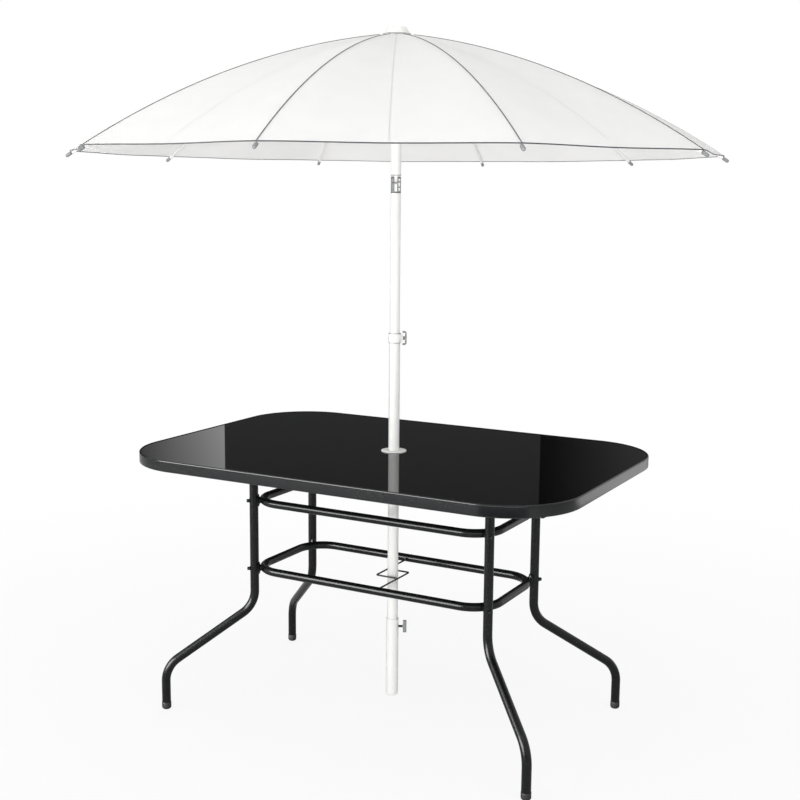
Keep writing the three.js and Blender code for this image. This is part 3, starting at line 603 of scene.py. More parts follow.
def grey_moulded_plastic():
    """Moulded acetal in mid grey, for the small fittings and the rib tips: an even, soft gloss."""
    return make_material(
        "grey_moulded_plastic",
        {"IOR": 1.48, "Specular IOR Level": 0.3},
        {"tones": 15, "roughness": 8, "bump": 0.7},
        tones=("#808283", "#8e9091"),
        roughness=(0.4, 0.5),
        bump_depth=0.012,
    )


def zinc_plated_steel():
    """Bright zinc plate on small pins and rivets: a pale, slightly blurred metal."""
    return make_material(
        "zinc_plated_steel",
        {"Metallic": 1},
        {"tones": 2, "roughness": 1.5},
        tones=("#9fa2a5", "#b9bcbf"),
        roughness=(0.22, 0.36),
    )


def woven_polyester():
    """Plain-woven polyester: matt and a little see-through to light.

    Its threads are drawn 2.4 mm wide, coarser than real ones, so that the weave can show at all.
    """
    settings = {
        "IOR": 1.45,
        "Specular IOR Level": 0,
        "Roughness": 0.85,
        "Sheen Weight": 0.15,
        "Sheen Roughness": 0.5,
        "Subsurface Weight": 1,
        "Subsurface Radius": (1, 1, 1),
        "Subsurface Scale": cloth_glow_depth * mm,
    }
    return make_material(
        "woven_polyester",
        settings,
        {"tones": 70},
        tones=("#eeede9", "#f4f3f0"),
        bump_depth=weave_depth,
        bump_strength=0.6,
        pattern=weave,
        details={"tones": 6},
    )


def weave(tree, place):
    """Threads both ways: two sets of waves multiplied together."""
    waves = {}
    for socket, direction in enumerate(("X", "Y")):
        scale = wave_length_at_scale_one / (thread_width * mm)
        settings = {"bands_direction": direction, "Scale": scale, "Distortion": 0.4}
        waves[socket] = add_node(tree, "ShaderNodeTexWave", settings, {"Vector": place}).outputs["Fac"]
    return add_node(tree, "ShaderNodeMath", {"operation": "MULTIPLY"}, waves).outputs[0]


def grey_piping_cord():
    """Dark grey cotton-covered piping with a fine twist: fully matt."""
    return make_material(
        "grey_piping_cord",
        {"IOR": 1.45, "Sheen Weight": 0.2},
        {"tones": 5, "roughness": 4, "bump": 0.9},
        tones=("#3b3c3e", "#4a4b4d"),
        roughness=(0.75, 0.9),
        bump_depth=0.1,
    )


# Each finish with its material slot
finishes = {
    "black_steel": (black_powder_coat(), "black_steel"),
    "rim_steel": (black_rim_enamel(), "black_steel"),
    "glass": (black_tempered_glass(), "tinted_glass"),
    "black_plastic": (black_grained_plastic(), "black_plastic"),
    "fastener": (blackened_screw_steel(), "dark_fastener"),
    "white_steel": (white_powder_coat(), "white_steel"),
    "white_plastic": (white_moulded_plastic(), "white_plastic"),
    "grey_plastic": (grey_moulded_plastic(), "white_plastic"),
    "bright_steel": (zinc_plated_steel(), "bright_steel"),
    "cloth": (woven_polyester(), "canopy_cloth"),
    "piping": (grey_piping_cord(), "canopy_cloth"),
}


# Shapes, as lists of vertices and faces
def loft(rings, caps=False, closed=False):
    """Faces over rings of equal length; closed joins the last ring to the first."""
    count = len(rings[0])
    vertices = [tuple(point) for ring in rings for point in ring]
    faces = []
    for i in range(len(rings) if closed else len(rings) - 1):
        low = i * count
        high = ((i + 1) % len(rings)) * count
        for k in range(count):
            after = (k + 1) % count
            faces.append((low + k, low + after, high + after, high + k))
    if caps:
        faces.append(tuple(reversed(range(count))))
        last = (len(rings) - 1) * count
        faces.append(tuple(range(last, last + count)))
    return vertices, faces


def joined(shapes):
    """Several shapes as one."""
    vertices, faces = [], []
    for more_vertices, more_faces in shapes:
        start = len(vertices)
        vertices += more_vertices
        faces += [tuple(start + i for i in face) for face in more_faces]
    return vertices, faces


def moved(shape, place):
    """A shape carried to a place."""
    vertices, faces = shape
    return [tuple(place @ Vector(v)) for v in vertices], faces


def shift(x, y, z):
    """The place that lies so far away without a turn."""
    return Matrix.Translation((x, y, z))


def circle(radius, sides):
    """Points of a circle as pairs."""
    turns = [2 * math.pi * i / sides for i in range(sides)]
    return [(radius * math.cos(turn), radius * math.sin(turn)) for turn in turns]


def arc(centre, radius, first, last, steps):
    """Points of an arc as pairs, both ends included."""
    turns = [first + (last - first) * i / steps for i in range(steps + 1)]
    return [(centre[0] + radius * math.cos(turn), centre[1] + radius * math.sin(turn)) for turn in turns]


def oblong(first, last, low, high):
    """The four corners of an oblong as pairs."""
    return [(first, low), (last, low), (last, high), (first, high)]


def eased(corners, radius, steps=4, closed=True):
    """An outline with every corner rounded, by less where its sides are short."""
    points = []
    count = len(corners)
    for i, corner in enumerate(corners):
        here = Vector(corner)
        before = Vector(corners[i - 1]) - here
        after = Vector(corners[(i + 1) % count]) - here
        open_end = not closed and i in (0, count - 1)
        if open_end or before.length == 0 or after.length == 0:
            points.append(tuple(here))
            continue
        reach = min(radius, edge_reach_share * before.length, edge_reach_share * after.length)
        start = here + before.normalized() * reach
        end = here + after.normalized() * reach
        for step in range(steps + 1):
            share = step / steps
            bent = start * (1 - share) ** 2 + here * 2 * share * (1 - share) + end * share ** 2
            points.append(tuple(bent))
    return points


def lathe(corners, edge=0, sides=turned_sides, steps=4):
    """Corners of (radius, height), eased by an edge and turned about Z.

    An outline that starts on the axis ends there too, and any other closes on itself.
    """
    closed = corners[0][0] > 0
    outline = eased(corners, edge, steps, closed) if edge else corners
    rings = [[(x, y, height) for x, y in circle(radius, sides)] for radius, height in outline]
    return loft(rings, closed=closed)


def bent_route(corners, radii, steps=bend_steps):
    """Stations along a run of corners, each corner rounded to its own radius."""
    stations = [Vector(corners[0])]
    for i, radius in enumerate(radii, start=1):
        here = Vector(corners[i])
        back = (Vector(corners[i - 1]) - here).normalized()
        ahead = (Vector(corners[i + 1]) - here).normalized()
        half = back.angle(ahead) / 2
        inward = (back + ahead).normalized()
        centre = here + inward * (radius / math.sin(half))
        start = here + back * (radius / math.tan(half)) - centre
        axis = inward.cross(start).normalized()
        for step in range(steps + 1):
            turn = Matrix.Rotation((math.pi - 2 * half) * step / steps, 3, axis)
            stations.append(turn @ start + centre)
    stations.append(Vector(corners[-1]))
    return stations


def swept(route, section, across):
    """A section of (side, across) pairs carried along a flat route; across is the route's normal."""
    across = Vector(across).normalized()
    rings = []
    for i, point in enumerate(route):
        before = route[max(i - 1, 0)]
        after = route[min(i + 1, len(route) - 1)]
        tangent = ((point - before).normalized() + (after - point).normalized()).normalized()
        side = across.cross(tangent)
        rings.append([point + side * a + across * b for a, b in section])
    return loft(rings, caps=True)


def swept_free(route, section):
    """A section carried along a route that bends freely; it keeps its upright side up."""
    rings = []
    for i, point in enumerate(route):
        before = route[max(i - 1, 0)]
        after = route[min(i + 1, len(route) - 1)]
        tangent = (after - before).normalized()
        side = tangent.cross(Vector((0, 0, 1))).normalized()
        up = side.cross(tangent)
        rings.append([point + side * a + up * b for a, b in section])
    return loft(rings, caps=True)


def bar(radius, start, end, sides=tube_sides):
    """A round bar between two points."""
    start, end = Vector(start), Vector(end)
    return swept([start, end], circle(radius, sides), (end - start).orthogonal())


def block(low, high):
    """A box between two corners."""
    x0, y0, z0 = low
    x1, y1, z1 = high
    rings = [[(x0, y0, z), (x1, y0, z), (x1, y1, z), (x0, y1, z)] for z in (z0, z1)]
    return loft(rings, caps=True)


def plate(outline, width):
    """A flat bar with its outline of (X, Z) pairs in the upright plane of a rib."""
    return loft([[(x, y, z) for x, z in outline] for y in (-width / 2, width / 2)], caps=True)


def cross_plate(outline, width):
    """A flat plate square to the tilt pin, with its outline as (Y, Z) pairs."""
    return loft([[(x, y, z) for y, z in outline] for x in (-width / 2, width / 2)], caps=True)


# Pieces
def bare_piece(name, shape, place=None):
    """A mesh object from a shape in millimetres, before it is cut and finished."""
    vertices, faces = shape
    place = place or Matrix.Identity(4)
    mesh = bpy.data.meshes.new(name)
    mesh.from_pydata([tuple((place @ Vector(v)) * mm) for v in vertices], [], faces)
    cleaned = bmesh.new()
    cleaned.from_mesh(mesh)
    bmesh.ops.remove_doubles(cleaned, verts=cleaned.verts, dist=merge_distance * mm)
    bmesh.ops.dissolve_degenerate(cleaned, edges=cleaned.edges, dist=degenerate_length * mm)
    bmesh.ops.recalc_face_normals(cleaned, faces=cleaned.faces)
    cleaned.to_mesh(mesh)
    cleaned.free()
    piece = bpy.data.objects.new(name, mesh)
    bpy.context.scene.collection.objects.link(piece)
    return piece


def cut(piece, cutters, operation="DIFFERENCE"):
    """Cuts a list of shapes out of a piece, or keeps only what they share, and applies it."""
    tools = [bare_piece("cutter", shape) for shape in cutters]
    for tool in tools:
        modifier = piece.modifiers.new("cut", "BOOLEAN")
        modifier.object = tool
        modifier.operation = operation
        modifier.solver = "EXACT"
    depsgraph = bpy.context.evaluated_depsgraph_get()
    result = bpy.data.meshes.new_from_object(piece.evaluated_get(depsgraph))
    piece.modifiers.clear()
    piece.data = result
    for tool in tools:
        bpy.data.objects.remove(tool)


def finish_piece(piece, finish, body, replaces=(), angle=smooth_angle, edge_round=0):
    """Gives a piece its finish, its shading, its rounded edges, its body and the nodes it stands for."""
    material, slot = finishes[finish]
    piece.data.materials.clear()
    piece.data.materials.append(material)
    piece.data.shade_smooth()
    piece.data.set_sharp_from_angle(angle=math.radians(angle))
    if edge_round:
        rounding = piece.modifiers.new("edge_round", "BEVEL")
        rounding.width = edge_round * mm
        rounding.segments = edge_round_segments
        rounding.limit_method = "ANGLE"
        rounding.angle_limit = math.radians(angle)
        rounding.harden_normals = True
    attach(piece, body)
    if replaces:
        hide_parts(*replaces)


def make_piece(name, shape, finish, body, place=None, replaces=(), angle=smooth_angle, edge_round=0):
    """A finished piece from a shape in millimetres, riding on its body."""
    piece = bare_piece(name, shape, place)
    finish_piece(piece, finish, body, replaces, angle, edge_round)
    return piece


# Table top
def top_loop(inset, height):
    """The outline of the top drawn in by an inset, at one height."""
    half_x = top_length / 2 - top_corner_radius
    half_y = top_width / 2 - top_corner_radius
    points = []
    for quadrant, (side_x, side_y) in enumerate([(1, 1), (-1, 1), (-1, -1), (1, -1)]):
        first = math.pi / 2 * quadrant
        centre = (side_x * half_x, side_y * half_y)
        corner = arc(centre, top_corner_radius - inset, first, first + math.pi / 2, top_corner_steps)
        points += [(x, y, height) for x, y in corner]
    return points


def make_rim():
    """Rolled steel band and the ledge inside it that carries the glass."""
    low = top_height - rim_height
    bend = rim_edge_round
    inner = rim_wall - rim_inner_edge
    band = [
        *arc((bend, low + bend), bend, -math.pi / 2, -math.pi, edge_steps),
        *arc((bend, top_height - bend), bend, math.pi, math.pi / 2, edge_steps),
        (inner, top_height),
        (rim_wall, top_height - rim_inner_edge),
        (rim_wall, low + rim_inner_edge),
        (inner, low),
    ]
    ledge = oblong(rim_wall - ledge_root, rim_wall + ledge_width, ledge_bottom, ledge_top)
    for name, section, finish, nodes in (
        ("rim_band", band, "rim_steel", ["rim_frame"]),
        ("rim_ledge", eased(ledge, soft_edge), "black_steel", []),
    ):
        shape = loft([top_loop(inset, height) for inset, height in section], closed=True)
        make_piece(name, shape, finish, "table", replaces=nodes)


def make_glass():
    """Glass sheet with ground edges and the hole for the umbrella."""
    inset = rim_wall + gap
    edge = glass_edge_round
    sheet = [
        top_loop(inset + edge, glass_top),
        top_loop(inset, glass_top - edge),
        top_loop(inset, glass_bottom + edge),
        top_loop(inset + edge, glass_bottom),
    ]
    hole = hole_ring_body + gap
    for height in (glass_bottom, glass_top):
        reaches = [(x, y, hole / math.hypot(x, y)) for x, y, _ in sheet[0]]
        sheet.append([(x * reach, y * reach, height) for x, y, reach in reaches])
    make_piece("glass_sheet", loft(sheet, closed=True), "glass", "table", replaces=["glass_top"])


def make_hole_ring():
    """White bush: a flange with a stepped lip on the glass, a body and a nut below."""
    foot = glass_top + gap
    nut_high = glass_bottom - gap
    nut_low = nut_high - bush_nut_height
    bore = lower_pole + bush_clearance
    lip = foot + bush_lip_height
    step = foot + bush_step_height
    bush = [
        (bore, nut_low),
        (hole_ring_body, nut_low),
        (hole_ring_body, foot),
        (hole_ring_flange, foot),
        (hole_ring_flange - bush_bevel, foot + bush_bevel_height),
        (hole_ring_flange - bush_lip_start, lip),
        (hole_ring_body - bush_lip_end, lip),
        (hole_ring_body - bush_lip_end - bush_step, step),
        (bore + bush_lead, step),
        (bore, foot + bush_lead),
    ]
    shape = lathe(bush, boss_edge)
    make_piece("umbrella_bush", shape, "white_plastic", "table", replaces=["umbrella_hole_ring"])
    nut = oblong(hole_ring_body + bush_nut_clearance, hole_ring_nut, nut_low, nut_high)
    make_piece("bush_nut", lathe(nut, soft_edge, nut_sides), "white_plastic", "table")


# Legs
def corner_place(side_x, side_y, turn):
    """The frame of a leg: on its corner of the tube rings, x outwards."""
    return shift(side_x * corner_x, side_y * corner_y, 0) @ Matrix.Rotation(turn, 4, "Z")


def arm_reach():
    """How far a leg's arm runs out under the glass before the rim's curved corner."""
    far_x = top_length / 2 - top_corner_radius - corner_x
    far_y = top_width / 2 - top_corner_radius - corner_y
    along = far_x * math.cos(leg_turn) + far_y * math.sin(leg_turn)
    inner = top_corner_radius - rim_wall
    return along + math.sqrt(along ** 2 - far_x ** 2 - far_y ** 2 + inner ** 2) - arm_end_gap


def make_leg(name, place):
    """One bent tube with its foot, splay, post and arm, and the plastic cap on its end."""
    foot = leg_offset + foot_reach
    corners = [
        (foot, 0, leg_tube_foot),
        (foot, 0, splay_foot_height),
        (leg_offset, 0, splay_top_height),
        (leg_offset, 0, arm_height),
        (arm_reach(), 0, arm_height),
    ]
    route = bent_route(corners, [leg_bend_radius, leg_bend_radius, arm_bend_radius])
    tube = swept(route, circle(leg_tube, tube_sides), (0, 1, 0))
    make_piece(f"leg_tube_{name}", tube, "black_steel", "table", place, [f"leg_{name}"])
    cap = moved(lathe(foot_cap(), sides=cap_sides), shift(foot, 0, 0))
    make_piece(f"foot_shoe_{name}", cap, "black_plastic", "table", place, [f"foot_cap_{name}"])


def foot_cap():
    """Section of the cap over the tube's end: a round sole, a slight bulge and a thin lip."""
    bore = leg_tube + gap
    bulge = leg_tube + foot_cap_bulge
    return [
        (0, 0),
        *arc((bulge - foot_cap_round, foot_cap_round), foot_cap_round, -math.pi / 2, 0, small_bend_steps),
        (bulge, foot_cap_height / 2),
        (bore + foot_cap_lip, foot_cap_height - foot_cap_lip_drop),
        (bore + foot_cap_lip_edge, foot_cap_height),
        (bore, foot_cap_height),
        (bore, foot_cap_floor),
        (0, foot_cap_floor),
    ]


def make_bolt(level, name, place):
    """Domed socket bolt and washer on the outside of a leg, its shank through to the ring."""
    height = ring_heights[level]
    face = leg_offset + leg_tube + gap
    low = washer_thickness
    high = low + bolt_head_height
    socket_floor = high - bolt_socket_depth
    dome = [(0, low), (bolt_head_radius, low), (bolt_head_radius, high), (bolt_socket, high)]
    head = [
        *eased(dome, bolt_head_round, closed=False),
        (bolt_socket_floor, socket_floor),
        (0, socket_floor - bolt_socket_cone),
    ]
    washer = lathe(oblong(washer_hole, washer_radius, 0, washer_thickness), thin_edge, bolt_sides)
    shank_start = (ring_corner_radius + bolt_shank_start, 0, height)
    shank = bar(bolt_shank, shank_start, (face + bolt_shank_lap, 0, height), thread_sides)
    lay = shift(face, 0, height) @ along_x
    bolt = joined([moved(washer, lay), moved(lathe(head, sides=bolt_sides), lay), shank])
    make_piece(f"bolt_{level}_{name}", bolt, "fastener", "table", place, [f"{level}_bolt_{name}"])


# Tube rings
def ring_route(height):
    """The centre line of a tube ring, from one side of its butt joint round to the other."""
    half_x, half_y = ring_length / 2, ring_width / 2
    corners = [
        (ring_joint_x + gap / 2, half_y, height),
        (half_x, half_y, height),
        (half_x, -half_y, height),
        (-half_x, -half_y, height),
        (-half_x, half_y, height),
        (ring_joint_x - gap / 2, half_y, height),
    ]
    return bent_route(corners, [ring_corner_radius] * 4)


def saddle_boss(height):
    """Stand-off welded to the ring, flared into a saddle that hugs the leg."""
    rings = []
    for share, half_width, half_height in saddle_stations:
        ring = []
        for across, up in circle(1, cap_sides):
            y, z = across * half_width, up * half_height
            seat = leg_offset - math.sqrt((leg_tube + gap) ** 2 - y ** 2)
            wall = ring_corner_radius + math.sqrt((ring_tube - boss_sink) ** 2 - (up * boss_radius) ** 2)
            ring.append((wall + (seat - wall) * share, y, height + z))
        rings.append(ring)
    return loft(rings, caps=True)


def weld_bead(height):
    """The rippled fillet of weld where a stand-off meets the ring's tube."""
    rings = []
    for i in range(cap_sides):
        turn = 2 * math.pi * i / cap_sides
        ripple = bead_radius + bead_ripple * math.sin(bead_ripple_count * turn)
        ring = []
        for a, b in circle(ripple, bead_sides):
            reach = boss_radius + bead_offset + a
            y, z = reach * math.cos(turn), reach * math.sin(turn)
            wall = ring_corner_radius + math.sqrt(max(ring_tube ** 2 - z ** 2, 0))
            ring.append((wall + b, y, height + z))
        rings.append(ring)
    return loft(rings, closed=True)


def joint_plug(height):
    """The plug inside a ring's butt joint and the low dome of its rivet."""
    ends = [(ring_joint_x + side * ring_plug_reach, ring_width / 2, height) for side in (-1, 1)]
    dome = [(0, 0), (ring_rivet, 0)]
    for step in range(1, ring_rivet_steps + 1):
        slope = math.pi / 2 * step / ring_rivet_steps
        dome.append((ring_rivet * math.cos(slope), ring_rivet_foot + ring_rivet_dome * math.sin(slope)))
    lay = shift(ring_rivet_x, rail_face - gap / 3, height) @ Matrix.Rotation(math.pi / 2, 4, "X")
    return joined([bar(ring_plug, *ends), moved(lathe(dome, sides=fitting_sides), lay)])


def make_ring(level):
    """Tube ring, its four stand-offs with their welds, and the riveted joint on the far rail."""
    height = ring_heights[level]
    tube = swept(ring_route(height), circle(ring_tube, tube_sides), (0, 0, 1))
    make_piece(f"{level}_ring_tube", tube, "black_steel", "table", replaces=[f"{level}_tube_ring"])
    for name, spot in leg_places.items():
        place = corner_place(*spot)
        boss = joined([saddle_boss(height), weld_bead(height)])
        make_piece(f"{level}_stand_off_{name}", boss, "black_steel", "table", place)
        make_bolt(level, name, place)
    plug = joint_plug(height)
    make_piece(f"{level}_joint_plug", plug, "fastener", "table", replaces=[f"{level}_ring_joint"])


def make_holder():
    """Two hooked wires that meet round the pole, with the weld blobs where they cross."""
    height = ring_heights["lower"]
    half_x, half_y = holder_loop_length / 2, holder_loop_width / 2
    corners = [
        (half_x, -rail_face - holder_root, height),
        (half_x, half_y, height),
        (-half_x, half_y, height),
    ]
    route = bent_route(corners, [holder_bend_radius], steps=small_bend_steps)
    hook = swept(route, circle(holder_wire, wire_sides), (0, 0, 1))
    blob = lathe(weld_blob, sides=wire_sides)
    weld = moved(blob, shift(-half_x, half_y, height))
    foot = moved(blob, shift(half_x, -rail_face, height) @ Matrix.Scale(root_weld_scale, 4))
    half = joined([hook, weld, foot])
    both = joined([half, moved(half, Matrix.Rotation(math.pi, 4, "Z"))])
    make_piece("holder_wires", both, "black_steel", "table", replaces=["umbrella_holder"])


# Umbrella poles and screws
def make_poles():
    """Base sleeve, lower pole, upper pole and crown pole."""
    floor = sleeve_bottom + sleeve_floor
    cup = [
        (0, sleeve_bottom),
        (sleeve, sleeve_bottom),
        (sleeve, sleeve_top),
        (sleeve - sleeve_wall, sleeve_top),
        (sleeve - sleeve_wall - sleeve_draft, floor),
        (0, floor),
    ]
    shape = lathe(cup, sleeve_round, steps=round_steps)
    make_piece("base_cup", shape, "white_steel", "pole", pole_place, ["base_sleeve"])
    for name, body, node, radius, low, high in (
        ("lower_tube", "pole", "lower_pole", lower_pole, floor + gap, lower_pole_top),
        ("upper_tube", "mast", "upper_pole", upper_pole, upper_pole_bottom, tilt_bottom),
        ("crown_tube", "head", "crown_pole", upper_pole, tilt_top, hub_bottom - gap),
    ):
        tube = lathe(oblong(radius - pole_wall, radius, low, high), pole_lip, steps=lip_steps)
        make_piece(name, tube, "white_steel", body, pole_place, [node])


def grip(thickness, width, length):
    """A rounded bar grip, its length along Z and its thickness along X, with soft edges."""
    reach = length / 2 - width / 2
    outline = [
        *arc((0, reach), width / 2, 0, math.pi, half_turn_steps),
        *arc((0, -reach), width / 2, math.pi, 2 * math.pi, half_turn_steps),
    ]
    rings = []
    for x, inset in (
        (0, grip_round),
        (grip_bevel, grip_bevel),
        (grip_round, 0),
        (thickness - grip_round, 0),
        (thickness - grip_bevel, grip_bevel),
        (thickness, grip_round),
    ):
        share_y = 1 - 2 * inset / width
        share_z = 1 - 2 * inset / length
        rings.append([(x, y * share_y, z * share_z) for y, z in outline])
    return loft(rings, caps=True)


def thread(radius, start, end):
    """Turned ridges along X that read as a screw thread."""
    root = radius - thread_depth
    outline = [(0, start)]
    for i in range(int((end - start) / thread_pitch)):
        at = start + i * thread_pitch
        outline += [(root, at), (radius, at + thread_pitch / 2)]
    outline += [(root, end), (0, end)]
    return moved(lathe(outline, sides=thread_sides), along_x)


def make_base_screw():
    """Thumb screw of the base sleeve: a T grip on a shouldered neck, and its steel thread."""
    start = sleeve + base_grip_stand_off
    foot = start - base_neck_length
    top = start + base_neck_lap
    neck = [(0, foot), (base_neck_foot, foot), (base_neck, start), (base_neck, top), (0, top)]
    shapes = [
        moved(lathe(neck, turned_edge, fitting_sides), along_x),
        moved(grip(base_grip_thickness, base_grip_width, base_grip_length), shift(start, 0, 0)),
    ]
    place = pole_place @ shift(0, 0, base_screw_height)
    make_piece("base_grip", joined(shapes), "grey_plastic", "base_screw", place, ["base_thumb_screw"])
    stem = thread(base_stem, lower_pole + gap, start - base_stem_end_gap)
    make_piece("base_stem", stem, "fastener", "base_screw", place)


def make_collar():
    """Clamp collar with its two rubber rings and the boss for its screw."""
    high = collar_low + collar_height
    shoulder = lower_pole_top + gap
    lower_bore = lower_pole + gap
    upper_bore = upper_pole + gap
    ring = [
        (lower_bore, collar_low),
        (collar_radius - collar_bevel, collar_low),
        (collar_radius, collar_low + collar_lead),
        (collar_radius, high - collar_bevel),
        (collar_radius - collar_bevel, high),
        (upper_bore, high),
        (upper_bore, shoulder),
        (lower_bore, shoulder),
    ]
    make_piece("collar_ring", lathe(ring, soft_edge), "white_plastic", "pole", pole_place, ["clamp_collar"])
    outside = collar_radius - collar_rubber_inset
    for name, bore, foot in (
        ("collar_wiper", upper_bore, high + collar_wiper_lift),
        ("collar_gasket", lower_bore, collar_low - collar_gasket_drop),
    ):
        rubber = lathe(oblong(bore, outside, foot, foot + collar_rubber), rubber_edge)
        make_piece(name, rubber, "grey_plastic", "pole", pole_place)
    root = collar_radius - collar_boss_root
    boss = [
        (collar_boss_bore, root),
        (collar_boss_neck, root),
        (collar_boss_neck, collar_boss_end - collar_boss_flare),
        (collar_boss_face, collar_boss_end - collar_boss_rim),
        (collar_boss_face, collar_boss_end),
        (collar_boss_bore, collar_boss_end),
    ]
    place = pole_place @ shift(0, 0, collar_knob_height)
    shape = moved(lathe(boss, boss_edge, bolt_sides), along_x)
    make_piece("collar_boss", shape, "white_plastic", "pole", place)


def make_collar_screw():
    """Wing grip on a round neck, and its steel thread."""
    place = pole_place @ shift(0, 0, collar_knob_height)
    start = collar_boss_end + knob_neck_lap
    end = knob_face - knob_thickness + knob_neck_lap
    neck = [(0, start), (knob_neck_foot, start), (knob_neck_top, end), (0, end)]
    knob = joined([wing_grip(), moved(lathe(neck, turned_edge, fitting_sides), along_x)])
    make_piece("collar_grip", knob, "grey_plastic", "collar_screw", place, ["collar_knob"])
    stem = thread(collar_stem, lower_pole + gap, collar_boss_end + collar_stem_lap)
    make_piece("collar_stem", stem, "fastener", "collar_screw", place)


def wing_grip():
    """A bar grip whose two ends curl back towards the collar."""
    centre = knob_face - knob_thickness / 2
    reach = (knob_length - knob_thickness) / 2
    corners = [(knob_tip, 0, reach), (centre, 0, reach), (centre, 0, -reach), (knob_tip, 0, -reach)]
    route = bent_route(corners, [knob_bend, knob_bend], steps=edge_steps)
    half = knob_width / 2
    deep = knob_thickness / 2
    section = eased(oblong(-deep, deep, -half, half), knob_edge, steps=knob_edge_steps)
    return swept(route, section, (0, 1, 0))


# Tilt joint
def fork_cutters():
    """The slot, the bores of pin and button, the windows, the pocket and the grooves of the fork."""
    half = tilt_slot_width / 2
    front = -cutter_reach
    cutters = [
        block((-half, front, tilt_floor), (half, cutter_reach, tilt_fork_top + cutter_overrun)),
        bar(tilt_bore, (front, 0, tilt_pin_height), (cutter_reach, 0, tilt_pin_height)),
        bar(
            tilt_bore,
            (tilt_button_x, front, tilt_button_height),
            (tilt_button_x, tilt_button_bore_end, tilt_button_height),
        ),
    ]
    for low, high in tilt_windows:
        cutters.append(block((tilt_window_left, front, low), (tilt_window_right, tilt_window_floor, high)))
    side = tilt_pocket_half_width
    pocket_top = tilt_floor - tilt_pocket_drop
    cutters.append(block((-side, front, tilt_pocket_foot), (side, tilt_pocket_floor, pocket_top)))
    for groove in tilt_grooves:
        face = -math.sqrt(upper_pole ** 2 - groove ** 2)
        low_corner = (groove - tilt_groove_half_width, front, tilt_pocket_foot)
        high_corner = (groove + tilt_groove_half_width, face + tilt_groove_depth, tilt_groove_top)
        cutters.append(block(low_corner, high_corner))
    return cutters


def cheek_form(low):
    """What the fork is kept inside of: a cylinder along the tilt pin that rounds it, on a block."""
    reach = tilt_cheek_reach
    side = upper_pole + tilt_cheek_room
    high = tilt_fork_top - tilt_cheek_base
    ends = [(x, 0, tilt_fork_top - tilt_cheek_round) for x in (-reach, reach)]
    form = bare_piece("cheek_form", bar(tilt_cheek_round, *ends, cheek_sides))
    cut(form, [block((-reach, -side, low - cutter_overrun), (reach, side, high))], "UNION")
    vertices = [tuple(vertex.co / mm) for vertex in form.data.vertices]
    faces = [tuple(polygon.vertices) for polygon in form.data.polygons]
    bpy.data.objects.remove(form)
    return vertices, faces


def make_tilt_fork():
    """Fork with rounded cheeks, cut on its front, and the white inserts in its windows and pocket."""
    low = tilt_bottom + gap
    fork = bare_piece("tilt_fork", lathe(oblong(0, upper_pole, low, tilt_fork_top), turned_edge))
    cut(fork, [cheek_form(low)], "INTERSECT")
    cut(fork, fork_cutters())
    fork.data.transform(pole_place)
    finish_piece(fork, "grey_plastic", "mast", ["tilt_socket"], crisp_angle, thin_edge)
    left, right = tilt_window_left + gap, tilt_window_right - gap
    back = tilt_window_floor - tilt_insert_seat
    inserts = []
    for low, high in tilt_windows:
        inserts.append(block((left, tilt_insert_front, low + gap), (right, back, high - gap)))
    side = tilt_pocket_half_width - gap
    top = tilt_floor - tilt_pocket_drop - gap
    low_corner = (-side, tilt_inlay_front, tilt_pocket_foot + gap)
    inserts.append(block(low_corner, (side, tilt_pocket_floor + gap, top)))
    make_piece("tilt_inserts", joined(inserts), "white_plastic", "mast", pole_place)


def make_tilt_tongue():
    """Pin, tongue and the plug that holds the tongue in the crown pole, with the two seals."""
    reach = tilt_pin_half_length
    pin = lathe(oblong(0, tilt_pin, -reach, reach), turned_edge, fitting_sides)
    lay = shift(0, 0, tilt_pin_height) @ along_x
    make_piece("tilt_axle", moved(pin, lay), "bright_steel", "mast", pole_place, ["tilt_pin"])
    radius = tilt_tongue_radius
    lap = tilt_top + tilt_tongue_lap
    round_end = arc((0, tilt_pin_height), radius, math.pi, 2 * math.pi, bend_steps)
    blade = cross_plate([*round_end, (radius, lap), (-radius, lap)], tilt_slot_width - 2 * gap)
    nodes = ["tilt_tongue"]
    make_piece("tilt_blade", blade, "white_plastic", "head", pole_place, nodes, crisp_angle, blade_edge_round)
    plug = lathe(oblong(0, pole_plug, tilt_top - tilt_plug_sink, tilt_top + tilt_plug_length))
    make_piece("tilt_plug", plug, "white_plastic", "head", pole_place)
    for name, body, foot in (
        ("tilt_seal_low", "mast", tilt_bottom - tilt_seal_drop),
        ("tilt_seal_high", "head", tilt_top),
    ):
        seal = oblong(tilt_seal_inner, tilt_seal_outer, foot, foot + tilt_seal_thickness)
        make_piece(name, lathe(seal, rubber_edge), "black_plastic", body, pole_place)


def make_tilt_button():
    """Locking button, its face cut to the round of the pole."""
    ends = [(tilt_button_x, y, tilt_button_height) for y in (-cutter_reach, tilt_button_root)]
    button = bare_piece("tilt_push", bar(tilt_button, *ends))
    cut(button, [lathe(oblong(0, upper_pole - tilt_button_recess, tilt_bottom, tilt_top))], "INTERSECT")
    button.data.transform(pole_place)
    finish_piece(button, "fastener", "button", ["tilt_button"], edge_round=thin_edge)


# Canopy frame
def canopy_point(share, depth=0):
    """A point of the canopy's outer arc as radius and height, moved in below the cloth by a depth."""
    slope = start_slope + (hem_slope - start_slope) * share
    radius = canopy_start_radius + canopy_arc * (math.sin(slope) - math.sin(start_slope))
    height = crown_height - canopy_arc * (math.cos(start_slope) - math.cos(slope))
    return radius - depth * math.sin(slope), height - depth * math.cos(slope)


def canopy_share(radius):
    """The share of the canopy's arc at which it reaches a radius."""
    sine = math.sin(start_slope) + (radius - canopy_start_radius) / canopy_arc
    return (math.asin(sine) - start_slope) / (hem_slope - start_slope)


